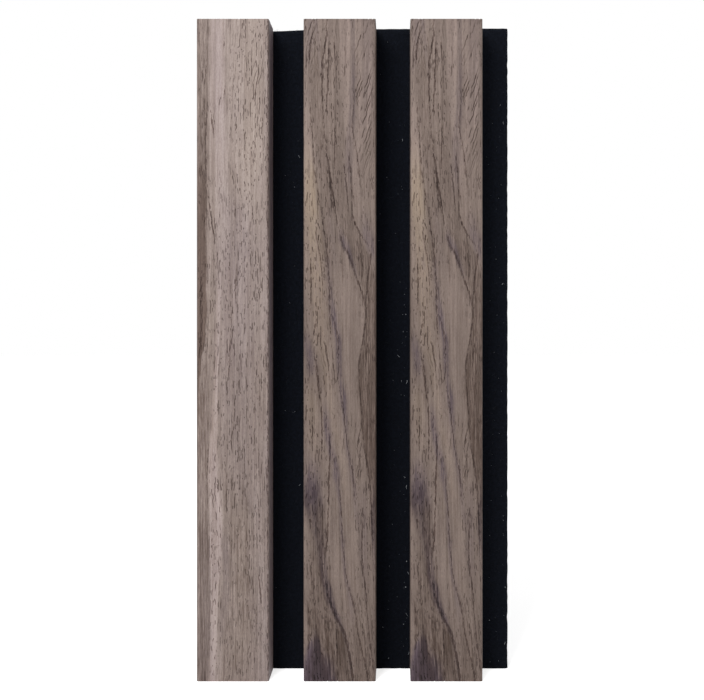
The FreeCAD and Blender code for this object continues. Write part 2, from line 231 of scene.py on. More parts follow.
# A streak or patch of another colour: height, distance to the right of the middle, half its
# width, and its depth. Past 13.5 mm it lies on the right side of the slat. A depth below zero closes the
# pores. Slanted pores lean right going up, and crossed ones left.
STRAIGHT_COLOURS = {
    "heart_and_arris_shade": [
        [(95, -9.3, 0.3, 0), (90, -9.7, 0.35, 0.6), (85, -9.9, 0.4, 0.8), (79, -10.2, 0.4, 0.6),
         (70, -10, 0.35, 0.6), (62, -9.9, 0.35, 0.6), (55, -10, 0.3, 0)],
        [(112, -9.4, 0.3, 0), (106, -9.9, 0.35, 0.5), (98, -10.6, 0.3, 0.5), (94, -11, 0.3, 0)],
        [(34, -11.6, 0.5, 0), (28, -11.6, 0.6, 0.5), (15, -11.8, 0.6, 0.6), (8, -11.6, 0.5, 0.7),
         (2, -12, 0.5, 0.7), (-4, -12.8, 0.4, 0.6), (-8, -13.1, 0.35, 0.5), (-20, -13.3, 0.3, 0.4),
         (-30, -13.4, 0.3, 0)],
        [(-79, 9.6, 0.28, 0), (-84, 9.9, 0.3, 0.5), (-88, 10.1, 0.32, 0.95), (-93, 10.6, 0.3, 0.9),
         (-98, 11, 0.25, 0)],
        [(-52, 9.4, 0.25, 0), (-58, 9.8, 0.3, 0.8), (-66, 10, 0.28, 0.5), (-78, 10.4, 0.25, 0.3),
         (-82, 10.5, 0.25, 0)],
        [(-33, -8.6, 0.28, 0), (-38, -9.2, 0.32, 0.7), (-46, -9.6, 0.3, 0.6), (-56, -9.4, 0.28, 0.5),
         (-62, -9, 0.25, 0)],
        [(-68, -7.7, 0.28, 0), (-71, -7.7, 0.3, 0.9), (-75, -7.7, 0.28, 0.8), (-77, -7.7, 0.25, 0)],
        [(-42, -1.9, 0.25, 0), (-48, -2.2, 0.28, 0.6), (-56, -2.4, 0.26, 0.5), (-62, -2.5, 0.25, 0)],
        [(34, 1.8, 0.25, 0), (30, 1.4, 0.28, 0.6), (24, 1, 0.3, 0.8), (19, 1.2, 0.28, 0.6),
         (12, 1.6, 0.25, 0)],
        [(20, -0.6, 0.25, 0), (12, -0.4, 0.28, 0.5), (2, -1, 0.26, 0.5), (-8, -1.4, 0.3, 0.7),
         (-14, -1.6, 0.25, 0)],
        [(101, -2.6, 0.25, 0), (96, -3, 0.3, 0.8), (92, -4, 0.25, 0)],
        [(97, -3.8, 0.25, 0), (93, -4.9, 0.3, 0.7), (89, -5.6, 0.25, 0)],
        [(91, -8.4, 0.25, 0), (87, -8, 0.32, 0.9), (82, -7.2, 0.32, 0.9), (77, -7, 0.25, 0)],
        [(90, -7.6, 0.25, 0), (86, -7, 0.28, 0.7), (81, -6.2, 0.25, 0)],
        [(62, -9.4, 0.25, 0.2), (56, -8.8, 0.28, 0.6), (48, -7.8, 0.3, 0.8), (42, -7, 0.3, 0.8),
         (37, -6.4, 0.25, 0)],
        [(119, -3.2, 0.25, 0), (115, -3.2, 0.3, 0.8), (111, -3.2, 0.25, 0)],
        [(109, 9.6, 0.25, 0), (103, 9.6, 0.28, 0.6), (97, 8.4, 0.28, 0.8), (91, 8, 0.25, 0)],
        # Painted shade: a dark line down the right arris, where the rounded corner turns away from the
        # light.
        [(124, 13.2, 0.35, 0.55), (-124, 13.2, 0.35, 0.55)],
    ],
    "lilac": [
        [(124, -5.6, 3, 0.16), (100, -5.6, 3, 0.18), (80, -4.6, 3.4, 0.14), (62, -4, 3, 0.1),
         (50, 1, 7, 0.2), (38, 2, 9, 0.23), (20, 2, 9, 0.2), (-20, 2, 8, 0.18), (-45, 5, 8, 0.14),
         (-60, 9, 4, 0.14), (-124, 10, 4, 0.14)],
        [(-60, -11, 3, 0), (-75, -11, 3, 0.12), (-124, -10, 4, 0.2)],
        [(-30, -6.9, 1.4, 0), (-40, -7.3, 1.7, 0.1), (-70, -6.2, 2.2, 0.12), (-84, -6.4, 1.8, 0.12),
         (-96, -7, 1.4, 0)],
        [(-66, -2.8, 1.4, 0), (-74, -2.5, 1.8, 0.2), (-88, -2.2, 1.8, 0.18), (-100, -3.4, 1.6, 0.16),
         (-112, -4, 1.6, 0)],
        # Painted light on the right side face: a cool grey cast, deeper at the top than at the foot.
        [(124, 20, 6.3, 0.62), (-124, 20, 6, 0.4)],
    ],
    "brown": [
        [(124, -11.3, 3.1, 0.36), (100, -11.3, 3, 0.34), (85, -11.6, 2.6, 0.42), (72, -11.8, 2.5, 0.55),
         (60, -11.9, 2.4, 0.8), (45, -12, 2.3, 1), (25, -12, 2.3, 1.05), (10, -12.2, 2.2, 1.05),
         (2, -12.6, 1.9, 1), (-3, -13, 1.2, 0.85), (-10, -13.3, 0.8, 0.7), (-25, -13.5, 0.5, 0.6),
         (-45, -13.6, 0.4, 0)],
        [(34, -9.8, 1.4, 0), (20, -9.9, 1.9, 0.2), (6, -10.6, 2.3, 0.25), (-2, -11.2, 2.6, 0.34),
         (-16, -11.4, 2.7, 0.4), (-30, -11.8, 2.6, 0.48), (-42, -11.6, 2.5, 0.4), (-60, -11.4, 2.8, 0.4),
         (-90, -11.2, 3, 0.38), (-124, -11.6, 2.5, 0.4)],
        [(0, -3, 3, 0), (-20, -2.6, 3, 0.1), (-50, 0, 5, 0.17), (-62, 2.4, 6.4, 0.26),
         (-80, 2.6, 6.6, 0.27), (-100, 2.4, 7, 0.32), (-124, 2.8, 8, 0.27)],
        [(-84, 4.5, 3.8, 0), (-85.2, 4.5, 4.4, 0.24), (-86.6, 4.5, 4.4, 0.2), (-89, 5, 4, 0.1),
         (-93, 5, 4, 0)],
    ],
    "straw": [
        [(124, 8, 4.5, 0.1), (95, 8, 4.5, 0.14), (70, 7.5, 4.6, 0.16), (56, 8, 4, 0.05), (50, 8, 4, 0)],
        [(28, -8.4, 1.4, 0), (20, -8.4, 1.6, 0.15), (5, -8.8, 1.6, 0.12), (-6, -9.4, 1.4, 0)],
        [(-56, 4, 6, 0), (-66, 5, 6.5, 0.14), (-112, 5, 6.5, 0.14), (-122, 4, 6, 0)],
    ],
    "pale": [
        [(124, -5.8, 3, 0.42), (100, -5.8, 3, 0.46), (80, -5.8, 2.8, 0.34), (60, -5.8, 2.6, 0.16),
         (48, -5.4, 2.2, 0)],
        [(32, -4.8, 0.7, 0), (24, -5, 0.8, 0.5), (5, -5.5, 0.9, 0.5), (-10, -6.4, 0.9, 0.65),
         (-20, -6.6, 1, 0.65), (-30, -7, 1.3, 0.8), (-40, -7.4, 1.7, 1), (-50, -7.3, 1.9, 0.9),
         (-56, -6.5, 2.1, 0.85), (-62, -6.2, 2.2, 0.85), (-70, -6.1, 2.2, 0.95), (-78, -6.5, 2.1, 1),
         (-84, -6.4, 1.6, 1), (-92, -6.8, 1.3, 0.85), (-102, -7, 1.3, 0.6), (-112, -7.2, 1.3, 0.6),
         (-124, -8, 1.4, 0.6)],
        [(42, -0.6, 2, 0), (28, -0.8, 2.2, 0.25), (0, -1, 2.2, 0.25), (-10, -1, 2, 0)],
        # Painted light: the right side face made paler towards its lower end.
        [(70, 20, 6, 0), (30, 20, 6, 0.4), (-30, 20, 6, 0.5), (-124, 20, 6, 0.6)],
    ],
    "pores": [
        [(124, 7, 5.5, 0.4), (90, 7, 6, 0.45), (60, 6.5, 6, 0.5), (0, 6, 6.5, 0.5), (-50, 5, 7, 0.32),
         (-75, 4.5, 7, 0.14), (-124, 4, 7, 0.1)],
        [(124, -5.5, 4.5, -0.5), (70, -5.5, 4, -0.4), (50, -4, 4, 0.1), (20, -4, 5, 0.25),
         (-20, -4, 4, 0.25), (-40, -3, 3, 0)],
        [(-8, -11, 2.4, 0), (-20, -11, 2.8, -0.6), (-124, -11, 2.8, -0.6)],
        [(-40, -7.4, 1.6, 0.3), (-52, -7.2, 2, 0.9), (-62, -6.2, 2, 0.3), (-84, -6.2, 2, 0.3),
         (-96, -7, 1.4, 0.8), (-112, -7.2, 1.4, 0.9), (-124, -8, 1.4, 0.5)],
    ],
    "slanted": [
        [(112, 9, 2, 0), (104, 9.4, 2.4, 0.7), (95, 9.4, 2.4, 0.6), (86, 9.4, 2, 0)],
    ],
    "crossed": [
        [(62, -8, 1.5, 0), (52, -7.8, 1.8, 0.7), (40, -6.8, 1.6, 0.6), (34, -6.5, 1.4, 0)],
        [(94, -7.6, 1.2, 0), (86, -7.2, 1.4, 0.7), (78, -6.8, 1.2, 0)],
    ],
}
SWEEPING_COLOURS = {
    "heart_and_arris_shade": [
        [(124, -9.4, 0.35, 0.5), (118, -10.1, 0.35, 0.6), (114, -11, 0.4, 0.9), (109, -11.4, 0.4, 0.9),
         (106, -11.7, 0.3, 0)],
        [(124, -8.7, 0.3, 0.4), (118, -8, 0.32, 0.5), (112, -7.6, 0.3, 0)],
        [(118, -11.8, 0.3, 0), (113, -12.3, 0.35, 0.7), (106, -12.6, 0.35, 0.6), (101, -12.6, 0.3, 0)],
        [(124, -4.9, 0.3, 0.5), (118, -4.9, 0.35, 0.8), (115, -5.3, 0.4, 0.9), (111, -5.8, 0.4, 0.8),
         (108, -6.7, 0.4, 0.8), (104, -6.3, 0.4, 0.9), (98, -6.6, 0.4, 0.9), (92, -6.4, 0.35, 0.7),
         (86, -6, 0.3, 0.6), (80, -5.6, 0.3, 0.5), (74, -4.8, 0.35, 0.7), (68, -4, 0.45, 0.9),
         (62, -3.2, 0.45, 1), (56, -2.1, 0.45, 0.9), (51, -1.4, 0.35, 0.7), (47, -0.7, 0.3, 0.4),
         (44, -0.3, 0.3, 0)],
        [(65, -4, 0.3, 0), (60, -3.7, 0.35, 0.7), (55, -2.8, 0.35, 0.7), (51, -2.2, 0.3, 0)],
        [(118, -4.1, 0.3, 0), (114, -3.9, 0.38, 0.9), (109, -4, 0.38, 0.9), (106.5, -4.6, 0.3, 0.4),
         (104, -4.5, 0.38, 0.9), (100, -4.2, 0.38, 0.9), (96, -4.7, 0.35, 0.8), (90, -4.9, 0.35, 0.7),
         (83, -4.6, 0.3, 0)],
        [(120, -2.3, 0.25, 0), (114, -1.9, 0.3, 0.8), (108, -1.7, 0.28, 0.6), (102, -1.2, 0.28, 0.5),
         (92, -0.5, 0.28, 0.5), (86, -0.2, 0.25, 0)],
        [(84, -1.6, 0.25, 0.3), (76, -1.8, 0.3, 0.95), (70, -1.9, 0.3, 0.9), (67, -1.9, 0.25, 0)],
        [(96, -11.3, 0.4, 0), (90, -10.9, 0.4, 0.55), (80, -10.2, 0.4, 0.5), (70, -9.6, 0.4, 0.55),
         (62, -8.6, 0.4, 0.5), (55, -7.3, 0.4, 0.6), (48, -6.2, 0.4, 0.6), (41, -5.3, 0.4, 0.6),
         (36, -4.7, 0.4, 0.8), (31, -4.4, 0.4, 0.8), (25, -3.7, 0.35, 0.6), (21, -4, 0.32, 0.7),
         (15, -3.7, 0.35, 0.7), (8, -3.4, 0.32, 0.7), (-1, -3.2, 0.3, 0)],
        [(14, -2.8, 0.3, 0), (11, -2.2, 0.4, 0.7), (7, -1.1, 0.4, 0.7), (2, -0.4, 0.35, 0.5),
         (-6, -0.2, 0.3, 0.5), (-11, -0.9, 0.3, 0.6), (-15, 0.3, 0.3, 0.4), (-19, 1, 0.35, 0.7),
         (-25, 1.7, 0.35, 0.7), (-34, 2.6, 0.35, 0.6), (-39, 3.6, 0.35, 0.7), (-45, 4.8, 0.4, 0.7),
         (-51, 5.4, 0.35, 0.6), (-60, 6, 0.3, 0)],
        [(79, 0.3, 0.3, 0), (70, 1.6, 0.35, 0.55), (60, 2.7, 0.38, 0.6), (54, 3.2, 0.35, 0.7),
         (50, 3.4, 0.3, 0)],
        [(77, 3.2, 0.25, 0), (72, 3.7, 0.3, 0.8), (66, 4.2, 0.3, 0.8), (60, 4.6, 0.28, 0.5),
         (52, 4.5, 0.3, 0.7), (48, 5.5, 0.4, 0.8), (45, 6.8, 0.45, 0.85), (42.5, 8.2, 0.5, 0.8),
         (40.5, 10, 0.5, 0.8), (38, 11.6, 0.4, 0)],
        [(101, 5.2, 0.25, 0), (96, 5.3, 0.3, 0.6), (90, 5.3, 0.28, 0.4), (85, 4.4, 0.3, 0.7),
         (81, 5.1, 0.3, 0.7), (74, 6.4, 0.3, 0.6), (66, 7.3, 0.3, 0.8), (61, 7.9, 0.25, 0)],
        [(45, 0.3, 0.35, 0.2), (42, 0.4, 0.4, 0.9), (39.5, 0.8, 0.5, 0.9), (37.5, 2.4, 0.6, 0.8),
         (35, 3.8, 0.6, 0.9), (32, 4.8, 0.45, 0.9), (28, 5.9, 0.4, 0.8), (24, 7.5, 0.38, 0.8),
         (20.5, 8.8, 0.45, 0.95), (18, 9.4, 0.38, 0.7), (14, 10, 0.4, 0.9), (11, 9.8, 0.4, 0.9),
         (7, 9.2, 0.35, 0.7), (2, 8.6, 0.38, 0.7), (-3, 7.4, 0.38, 0.7), (-8, 7.2, 0.35, 0.6),
         (-14, 7.6, 0.3, 0.6), (-20, 8, 0.32, 0.7), (-28, 8.4, 0.3, 0.5), (-36, 9.2, 0.35, 0.7),
         (-42, 10.2, 0.4, 0.9), (-48, 11, 0.35, 0.7), (-56, 11.6, 0.35, 0.7), (-62, 12, 0.38, 0.8),
         (-70, 12.2, 0.35, 0.7), (-76, 12.4, 0.3, 0)],
        [(38, 11.5, 0.3, 0), (35, 11.6, 0.35, 0.9), (31, 11.3, 0.3, 0.6), (29, 10.7, 0.28, 0.8),
         (24, 10.3, 0.3, 0.9), (17, 10.1, 0.3, 0)],
        [(8, 12.2, 0.3, 0), (2, 10.4, 0.35, 0.6), (-4, 9.8, 0.35, 0.7), (-10, 9.2, 0.3, 0)],
        [(-27, 8.1, 0.28, 0), (-33, 7.2, 0.32, 0.7), (-38, 6.3, 0.3, 0.4), (-41, 7.9, 0.3, 0.6),
         (-46, 7, 0.32, 0.7), (-51, 5.9, 0.3, 0)],
        [(-55, 8.4, 0.3, 0), (-62, 8.8, 0.3, 0.7), (-70, 8.4, 0.35, 0.7), (-76, 8.3, 0.35, 0.8),
         (-82, 8.8, 0.32, 0.6), (-90, 9.8, 0.35, 0.7), (-98, 10.2, 0.3, 0.4), (-108, 11.2, 0.32, 0.7),
         (-118, 12.6, 0.32, 0.6), (-122, 13, 0.3, 0)],
        [(-1, -9.4, 0.35, 0), (-6, -8.7, 0.42, 0.9), (-12, -8, 0.42, 0.95), (-16, -7.6, 0.38, 0.8),
         (-19, -6.9, 0.3, 0.5), (-23, -6.7, 0.3, 0.95), (-32, -6.6, 0.3, 0.9), (-38, -6.6, 0.28, 0.6),
         (-42, -6.5, 0.25, 0)],
        [(-6, -11.8, 0.25, 0), (-14, -11.8, 0.28, 0.6), (-20, -11.6, 0.25, 0)],
        [(-19, -10.2, 0.3, 0), (-26, -10, 0.35, 0.5), (-36, -10.2, 0.35, 0.5), (-41, -10.2, 0.3, 0)],
        [(11, -6.4, 0.25, 0), (4, -5.8, 0.28, 0.6), (0, -4.8, 0.28, 0.7), (-7, -4.2, 0.28, 0.7),
         (-14, -3.5, 0.25, 0)],
        [(4, -3.1, 0.25, 0), (-2, -2.7, 0.26, 0.7), (-9, -2.1, 0.26, 0.6), (-13, -1.4, 0.25, 0)],
        [(4, -7.1, 0.25, 0), (0, -6.8, 0.28, 0.7), (-4, -6.3, 0.25, 0)],
        [(34, -10.8, 0.28, 0), (31, -10.8, 0.32, 0.95), (24, -10.7, 0.3, 0.8), (19, -10.5, 0.28, 0.5),
         (16, -11.2, 0.3, 0.7), (12, -11.3, 0.25, 0)],
        [(54, -9.9, 0.26, 0), (51, -9.8, 0.28, 0.9), (48, -9.8, 0.26, 0)],
        [(44, -8.8, 0.28, 0.4), (40, -8.2, 0.3, 0.8), (35, -7.3, 0.3, 0.9), (30, -6.6, 0.28, 0.5),
         (24, -6.4, 0.26, 0.5), (18, -5.2, 0.25, 0)],
        [(14, -8.7, 0.28, 0), (11, -8.8, 0.3, 0.9), (7, -9.6, 0.3, 0.7), (3, -9.8, 0.25, 0)],
        [(-28, -4.4, 0.26, 0), (-34, -3.7, 0.3, 0.6), (-39, -3.6, 0.32, 0.9), (-44, -3.8, 0.34, 1),
         (-50, -4, 0.34, 1), (-56, -4.2, 0.32, 0.9), (-60, -4.3, 0.28, 0.6), (-65, -4.4, 0.32, 0.9),
         (-71, -4.6, 0.35, 0.9), (-75, -5.2, 0.35, 0.8), (-80, -5.5, 0.3, 0)],
        [(-43, -5, 0.25, 0), (-48, -5, 0.28, 0.6), (-55, -5, 0.25, 0)],
        [(-44, -0.9, 0.25, 0), (-50, -0.3, 0.3, 0.6), (-58, 0.5, 0.32, 0.7), (-66, 0.9, 0.3, 0.5),
         (-74, 1.4, 0.32, 0.7), (-81, 1.9, 0.32, 0.6), (-86, 2.8, 0.32, 0.5), (-90, 3.8, 0.38, 0.7),
         (-94, 5, 0.42, 0.7), (-98, 5.8, 0.36, 0.6), (-104, 6.6, 0.38, 0.7), (-109, 7.4, 0.4, 0.85),
         (-114, 8.8, 0.42, 0.85), (-119, 10.1, 0.4, 0.8), (-124, 10.8, 0.38, 0.7)],
        [(-82, -5.8, 0.5, 0), (-87, -5, 0.6, 0.55), (-92, -4.2, 0.65, 0.65), (-96, -3, 0.6, 0.8),
         (-99, -1.8, 0.6, 0.95), (-102, -0.1, 0.6, 0.95), (-105, 1.4, 0.6, 0.85), (-109, 2.6, 0.6, 0.85),
         (-114, 3.6, 0.55, 0.9), (-119, 4.4, 0.55, 0.9), (-124, 5.2, 0.5, 0.9)],
        [(-101, -1.3, 0.25, 0), (-106, -1.2, 0.3, 0.8), (-118, -0.9, 0.28, 0.8), (-124, -0.6, 0.26, 0.6)],
        [(-84, -10, 0.25, 0), (-92, -9.6, 0.28, 0.6), (-102, -9, 0.25, 0)],
        [(-88, -12.7, 0.25, 0), (-96, -11.8, 0.3, 0.6), (-108, -11, 0.3, 0.5), (-112, -11, 0.25, 0)],
        # Painted shade: a dark line down the right arris, where the rounded corner turns away from the
        # light.
        [(124, 12.7, 0.3, 0.3), (-124, 12.9, 0.3, 0.3)],
    ],
    "lilac": [
        [(124, -11, 2.4, 0.24), (114, -11.6, 2, 0.22), (106, -12.2, 1.4, 0.12), (100, -12.6, 1, 0)],
        [(124, -8.6, 0.8, 0.2), (114, -8, 0.8, 0.15), (108, -7.2, 0.8, 0.15), (100, -6.4, 0.7, 0)],
        [(124, 4.8, 0.9, 0.22), (110, 5, 1, 0.24), (98, 5, 1.3, 0.34), (88, 4.8, 1.3, 0.34),
         (80, 4, 1.6, 0.26), (70, 3.4, 1.8, 0.3), (62, 3.2, 1.6, 0.2), (54, 3.2, 1, 0)],
        [(124, 10.6, 3, 0.16), (110, 11, 3, 0.16), (96, 10.6, 3.4, 0.16), (84, 10.2, 3.4, 0.1),
         (74, 10, 3, 0)],
        [(54, 9.4, 1.5, 0), (47, 9.6, 2.4, 0.25), (42, 10.6, 2.4, 0.42), (37, 12, 1.8, 0.42),
         (32, 12.8, 1, 0)],
        [(58, -3, 1, 0), (50, -4, 1.3, 0.14), (42, -3, 1.6, 0.16), (34, -2, 1.8, 0.12), (26, -1, 1.6, 0)],
        [(46, 0.4, 0.8, 0), (43, 0.7, 1.2, 0.4), (40, 1.6, 1.5, 0.5), (37, 3.4, 1.5, 0.55),
         (34, 4.5, 1.1, 0.5), (30, 5.5, 0.8, 0.35), (26, 6.6, 0.6, 0)],
        [(34, -4.4, 0.8, 0.2), (28, -3.8, 1, 0.25), (22, -3.4, 1.2, 0.34), (16, -2.9, 1.3, 0.45),
         (11, -2, 1.5, 0.55), (6, -0.9, 1.5, 0.5), (0, -0.3, 1.3, 0.5), (-6, -0.1, 1.1, 0.42),
         (-12, 0.5, 1.1, 0.4), (-18, 1.4, 1.6, 0.6), (-23, 1.9, 1.3, 0.5), (-30, 2.3, 0.9, 0.4),
         (-36, 2.7, 0.8, 0.4), (-42, 4, 0.9, 0.34), (-50, 5.3, 0.9, 0.3), (-60, 6.2, 0.8, 0.2),
         (-68, 7.2, 0.8, 0)],
        [(8, -13, 0.8, 0), (4, -12.2, 1.6, 0.38), (0, -11.4, 1.9, 0.52), (-4, -10.8, 1.9, 0.45),
         (-8, -10.6, 1.8, 0.28), (-12, -10.6, 1.5, 0)],
        [(-18, -5.6, 0.6, 0), (-24, -5.2, 1.3, 0.34), (-31, -4.8, 1.5, 0.48), (-37, -3.4, 1.4, 0.42),
         (-42, -1.8, 1.5, 0.52), (-48, -1, 1.2, 0.44), (-55, -0.2, 0.9, 0.34), (-64, 0.6, 0.7, 0.34),
         (-74, 1.2, 0.8, 0.34), (-84, 2.2, 0.9, 0.28), (-92, 3.8, 1.1, 0.34), (-100, 4.8, 1, 0.15),
         (-108, 5.6, 0.6, 0)],
        [(-39, -11, 1.6, 0), (-42, -10.8, 2.6, 0.34), (-46, -10.6, 3.2, 0.44), (-50, -10.4, 3.4, 0.55),
         (-54, -10.2, 3.6, 0.76), (-58, -10, 3.6, 0.6), (-62, -9.2, 3.2, 0.34), (-68, -7.8, 2.6, 0.36),
         (-76, -7, 1.8, 0.4), (-84, -5.8, 1.5, 0.48), (-90, -4.6, 1.8, 0.62), (-95, -3.2, 1.6, 0.62),
         (-99, -1.4, 1.3, 0.55), (-104, 1.1, 1, 0.35), (-110, 2.9, 0.8, 0.25), (-124, 5, 0.7, 0.2)],
        [(-104, -9, 0.6, 0), (-108, -9, 1.3, 0.6), (-112, -9.5, 3.2, 0.9), (-117, -9.3, 4.7, 1.05),
         (-124, -9, 6, 1.1)],
        [(-112, -4.5, 1.6, 0), (-117, -3.6, 2.2, 0.3), (-124, -3, 2.8, 0.45)],
        [(-50, 12.6, 0.8, 0.2), (-60, 12.6, 1, 0.42), (-70, 12.7, 0.9, 0.42), (-80, 12.8, 0.7, 0.2),
         (-90, 13, 0.6, 0)],
        [(-50, 8.8, 1.8, 0.1), (-62, 8.8, 2, 0.22), (-75, 8.8, 1.8, 0.22), (-86, 9.6, 1.5, 0.14),
         (-95, 10, 1, 0)],
    ],
    "brown": [
        [(118, -9.6, 1.6, 0), (110, -9.6, 2.2, 0.2), (98, -9, 2.6, 0.3), (88, -8, 2.8, 0.28),
         (78, -6.8, 2.8, 0.25), (68, -5.6, 2.4, 0.25), (60, -4.8, 2, 0.25), (52, -3.6, 1.5, 0.15),
         (46, -2.5, 1, 0)],
        [(100, -3, 1.4, 0), (90, -2.6, 1.8, 0.14), (80, -1.8, 2, 0.2), (70, -0.8, 2.2, 0.24),
         (60, 0.6, 2.5, 0.25), (52, 2, 2.7, 0.22), (46, 3.6, 3, 0.26), (41, 5.2, 3.3, 0.38),
         (37, 7, 3.5, 0.46), (32, 8.8, 3.6, 0.42), (27, 10.4, 3.3, 0.44), (22, 11.6, 2.9, 0.46),
         (16, 12.2, 2.5, 0.5), (10, 12.2, 2.9, 0.52), (5, 11.6, 3.1, 0.52), (0, 11.2, 3.3, 0.52),
         (-5, 10.7, 3.8, 0.56), (-12, 10.4, 3.9, 0.6), (-20, 10.6, 3.5, 0.62), (-30, 11, 3, 0.64),
         (-38, 11.6, 2.3, 0.64), (-45, 12.2, 1.7, 0.62), (-52, 12.8, 1.4, 0.56), (-62, 13, 1.1, 0.5),
         (-72, 13.2, 0.7, 0.2), (-80, 13.3, 0.6, 0)],
        [(-58, -9.6, 3.8, 0), (-62, -9, 3.6, 0.2), (-68, -8.2, 3.2, 0.24), (-76, -8.2, 2.8, 0.24),
         (-84, -9, 3.2, 0.26), (-92, -8.8, 4, 0.3), (-98, -8, 5, 0.36), (-103, -6.2, 5.8, 0.48),
         (-108, -4, 6, 0.56), (-116, -2.4, 5, 0.52), (-124, -1, 5, 0.5)],
        [(-72, 4.2, 1.8, 0), (-80, 4.5, 2, 0.12), (-90, 5.3, 2, 0.14), (-98, 6, 1.6, 0)],
        [(-84, 0.4, 2, 0), (-90, -0.4, 2.6, 0.15), (-95, 1.2, 2.2, 0.12), (-101, 3.4, 2, 0)],
        [(66, -7.4, 0.8, 0), (56, -6, 1.2, 0.2), (46, -4.8, 1.4, 0.26), (36, -3.8, 1.3, 0.26),
         (26, -2.8, 1, 0.2), (18, -2.6, 0.8, 0)],
        [(-56, -8, 1.8, 0), (-62, -7.3, 1.8, 0.34), (-70, -7, 1.8, 0.36), (-80, -6.4, 1.7, 0.3),
         (-88, -5, 1.9, 0.36), (-94, -3.6, 1.8, 0.42), (-99, -1.8, 1.4, 0.3), (-103, 0, 1, 0)],
        [(-47, -10.6, 3.2, 0), (-51, -10.4, 3.4, 0.26), (-55, -10.3, 3.6, 0.4), (-59, -9.8, 3.4, 0.32),
         (-63, -9.2, 3, 0)],
        [(-106, -9, 0.5, 0), (-109, -8.8, 1.2, 0.5), (-113, -8.7, 2.4, 0.62), (-118, -8.6, 3.4, 0.6),
         (-124, -8, 4.2, 0.5)],
        [(-101, 0, 0.8, 0), (-105, 0.8, 1.3, 0.34), (-109, 1.4, 1.4, 0.26), (-114, 2.6, 1.2, 0.2),
         (-124, 4.4, 1.1, 0.25)],
        [(-95, 6.2, 1.4, 0), (-103, 6.8, 2.2, 0.24), (-112, 7.6, 3, 0.34), (-118, 8.2, 3.2, 0.32),
         (-124, 8.8, 3.2, 0.3)],
    ],
    "straw": [
        [(84, -12.4, 1.2, 0), (72, -11.8, 1.8, 0.35), (62, -11.2, 2.6, 0.74), (54, -10.8, 3, 0.74),
         (46, -10.2, 3.2, 0.55), (34, -9, 3.6, 0.42), (20, -8.2, 3.6, 0.4), (4, -7, 2.8, 0.34),
         (-12, -4.6, 2, 0.22), (-30, -1.4, 1.4, 0.2), (-45, 1.4, 1.3, 0.2), (-60, 3.2, 1.3, 0.15),
         (-80, 4.6, 1.2, 0)],
        [(-10, -11, 1.8, 0), (-18, -10.6, 2.6, 0.28), (-30, -10.2, 2.6, 0.28), (-40, -9, 2, 0)],
    ],
    "pale": [
        [(124, -3, 2.4, 0.2), (114, -2.6, 2.2, 0.26), (106, -2.4, 1.8, 0.14), (99, -2.4, 1.5, 0)],
        [(124, 1.9, 1.9, 0.7), (112, 1.9, 1.9, 0.7), (104, 2, 1.9, 0.6), (96, 2.2, 1.8, 0.42),
         (86, 2.2, 1.4, 0.28), (78, 2.2, 1, 0)],
        [(98, -12.9, 0.7, 0), (88, -12.5, 1.2, 0.4), (78, -12.3, 1.4, 0.55), (70, -12, 1.7, 0.4),
         (62, -12, 1.6, 0.2), (54, -12, 1.5, 0)],
        [(124, 8.6, 3.4, 0.42), (112, 8.8, 3.4, 0.42), (100, 9.2, 3.2, 0.38), (92, 9, 3, 0.42),
         (82, 8.2, 2.6, 0.42), (70, 6.2, 1.5, 0.38), (60, 6.4, 1.8, 0.2), (52, 7.4, 1.8, 0.1),
         (46, 9, 1.4, 0)],
        [(48, -10.4, 2.2, 0), (36, -10.6, 2.6, 0.2), (24, -10.4, 2.8, 0.2), (10, -9.4, 3, 0.2),
         (0, -6.6, 2, 0.18), (-8, -6, 1.8, 0)],
        [(38, -7, 1.5, 0), (29, -7, 2.8, 0.34), (22, -7, 2.8, 0.32), (10, -7.4, 2.2, 0.22),
         (4, -7.4, 2, 0.22), (-3, -8, 1.6, 0)],
        [(34, -0.6, 1.6, 0), (28, 0.8, 2.6, 0.14), (18, 3.4, 3.8, 0.16), (8, 4.6, 3.2, 0.12),
         (-6, 4, 2.6, 0.12), (-14, 4.6, 1.6, 0)],
        [(0, -4.2, 1.2, 0), (-16, -3, 1.8, 0.2), (-26, -1.4, 1.7, 0.22), (-36, 0.2, 1.6, 0.22),
         (-46, 2, 1.5, 0.22), (-58, 3.2, 1.4, 0.2), (-70, 3.8, 1.4, 0.12), (-80, 4.6, 1.2, 0)],
        [(-60, -2, 1.3, 0), (-72, -1.8, 1.7, 0.16), (-84, -1.6, 1.8, 0.2), (-92, 0.6, 2.1, 0.18),
         (-100, 3.2, 1.8, 0.18), (-108, 5, 1.2, 0.1), (-124, 7.6, 1.2, 0.1)],
        [(-98, 9, 1.2, 0), (-108, 10.4, 1.2, 0.12), (-116, 12, 1.2, 0.25), (-124, 12.8, 1.2, 0.25)],
    ],
    "pores": [
        [(-40, -11, 2.5, 0), (-46, -11, 3, 0.5), (-60, -10, 3.5, 0.6), (-70, -8, 3, 0.4),
         (-92, -6, 2, 0.4), (-98, -4, 2, 0)],
        [(-106, -9, 1, 0), (-110, -9, 2, 0.6), (-124, -9, 5, 0.7)],
        [(64, -10, 3.5, 0.2), (30, -10, 3.5, 0.4), (0, -9, 4, 0.3), (-30, -9, 4, 0.3), (-42, -9, 3, 0)],
        [(-45, 8, 2.8, 0.2), (-65, 8.5, 3, 0.5), (-85, 9, 3, 0.4), (-124, 10, 2.8, 0.3)],
        [(124, -4, 3, 0.1), (112, -4, 3, 0), (100, -4, 3, 0.35), (70, -5, 3, 0.3), (40, -5, 2.4, 0.2),
         (20, -5, 2, 0)],
        [(30, 3, 2.6, 0), (20, 3.4, 4, -0.6), (0, 4, 3.6, -0.6), (-15, 4, 2.6, -0.4), (-24, 4, 2, 0)],
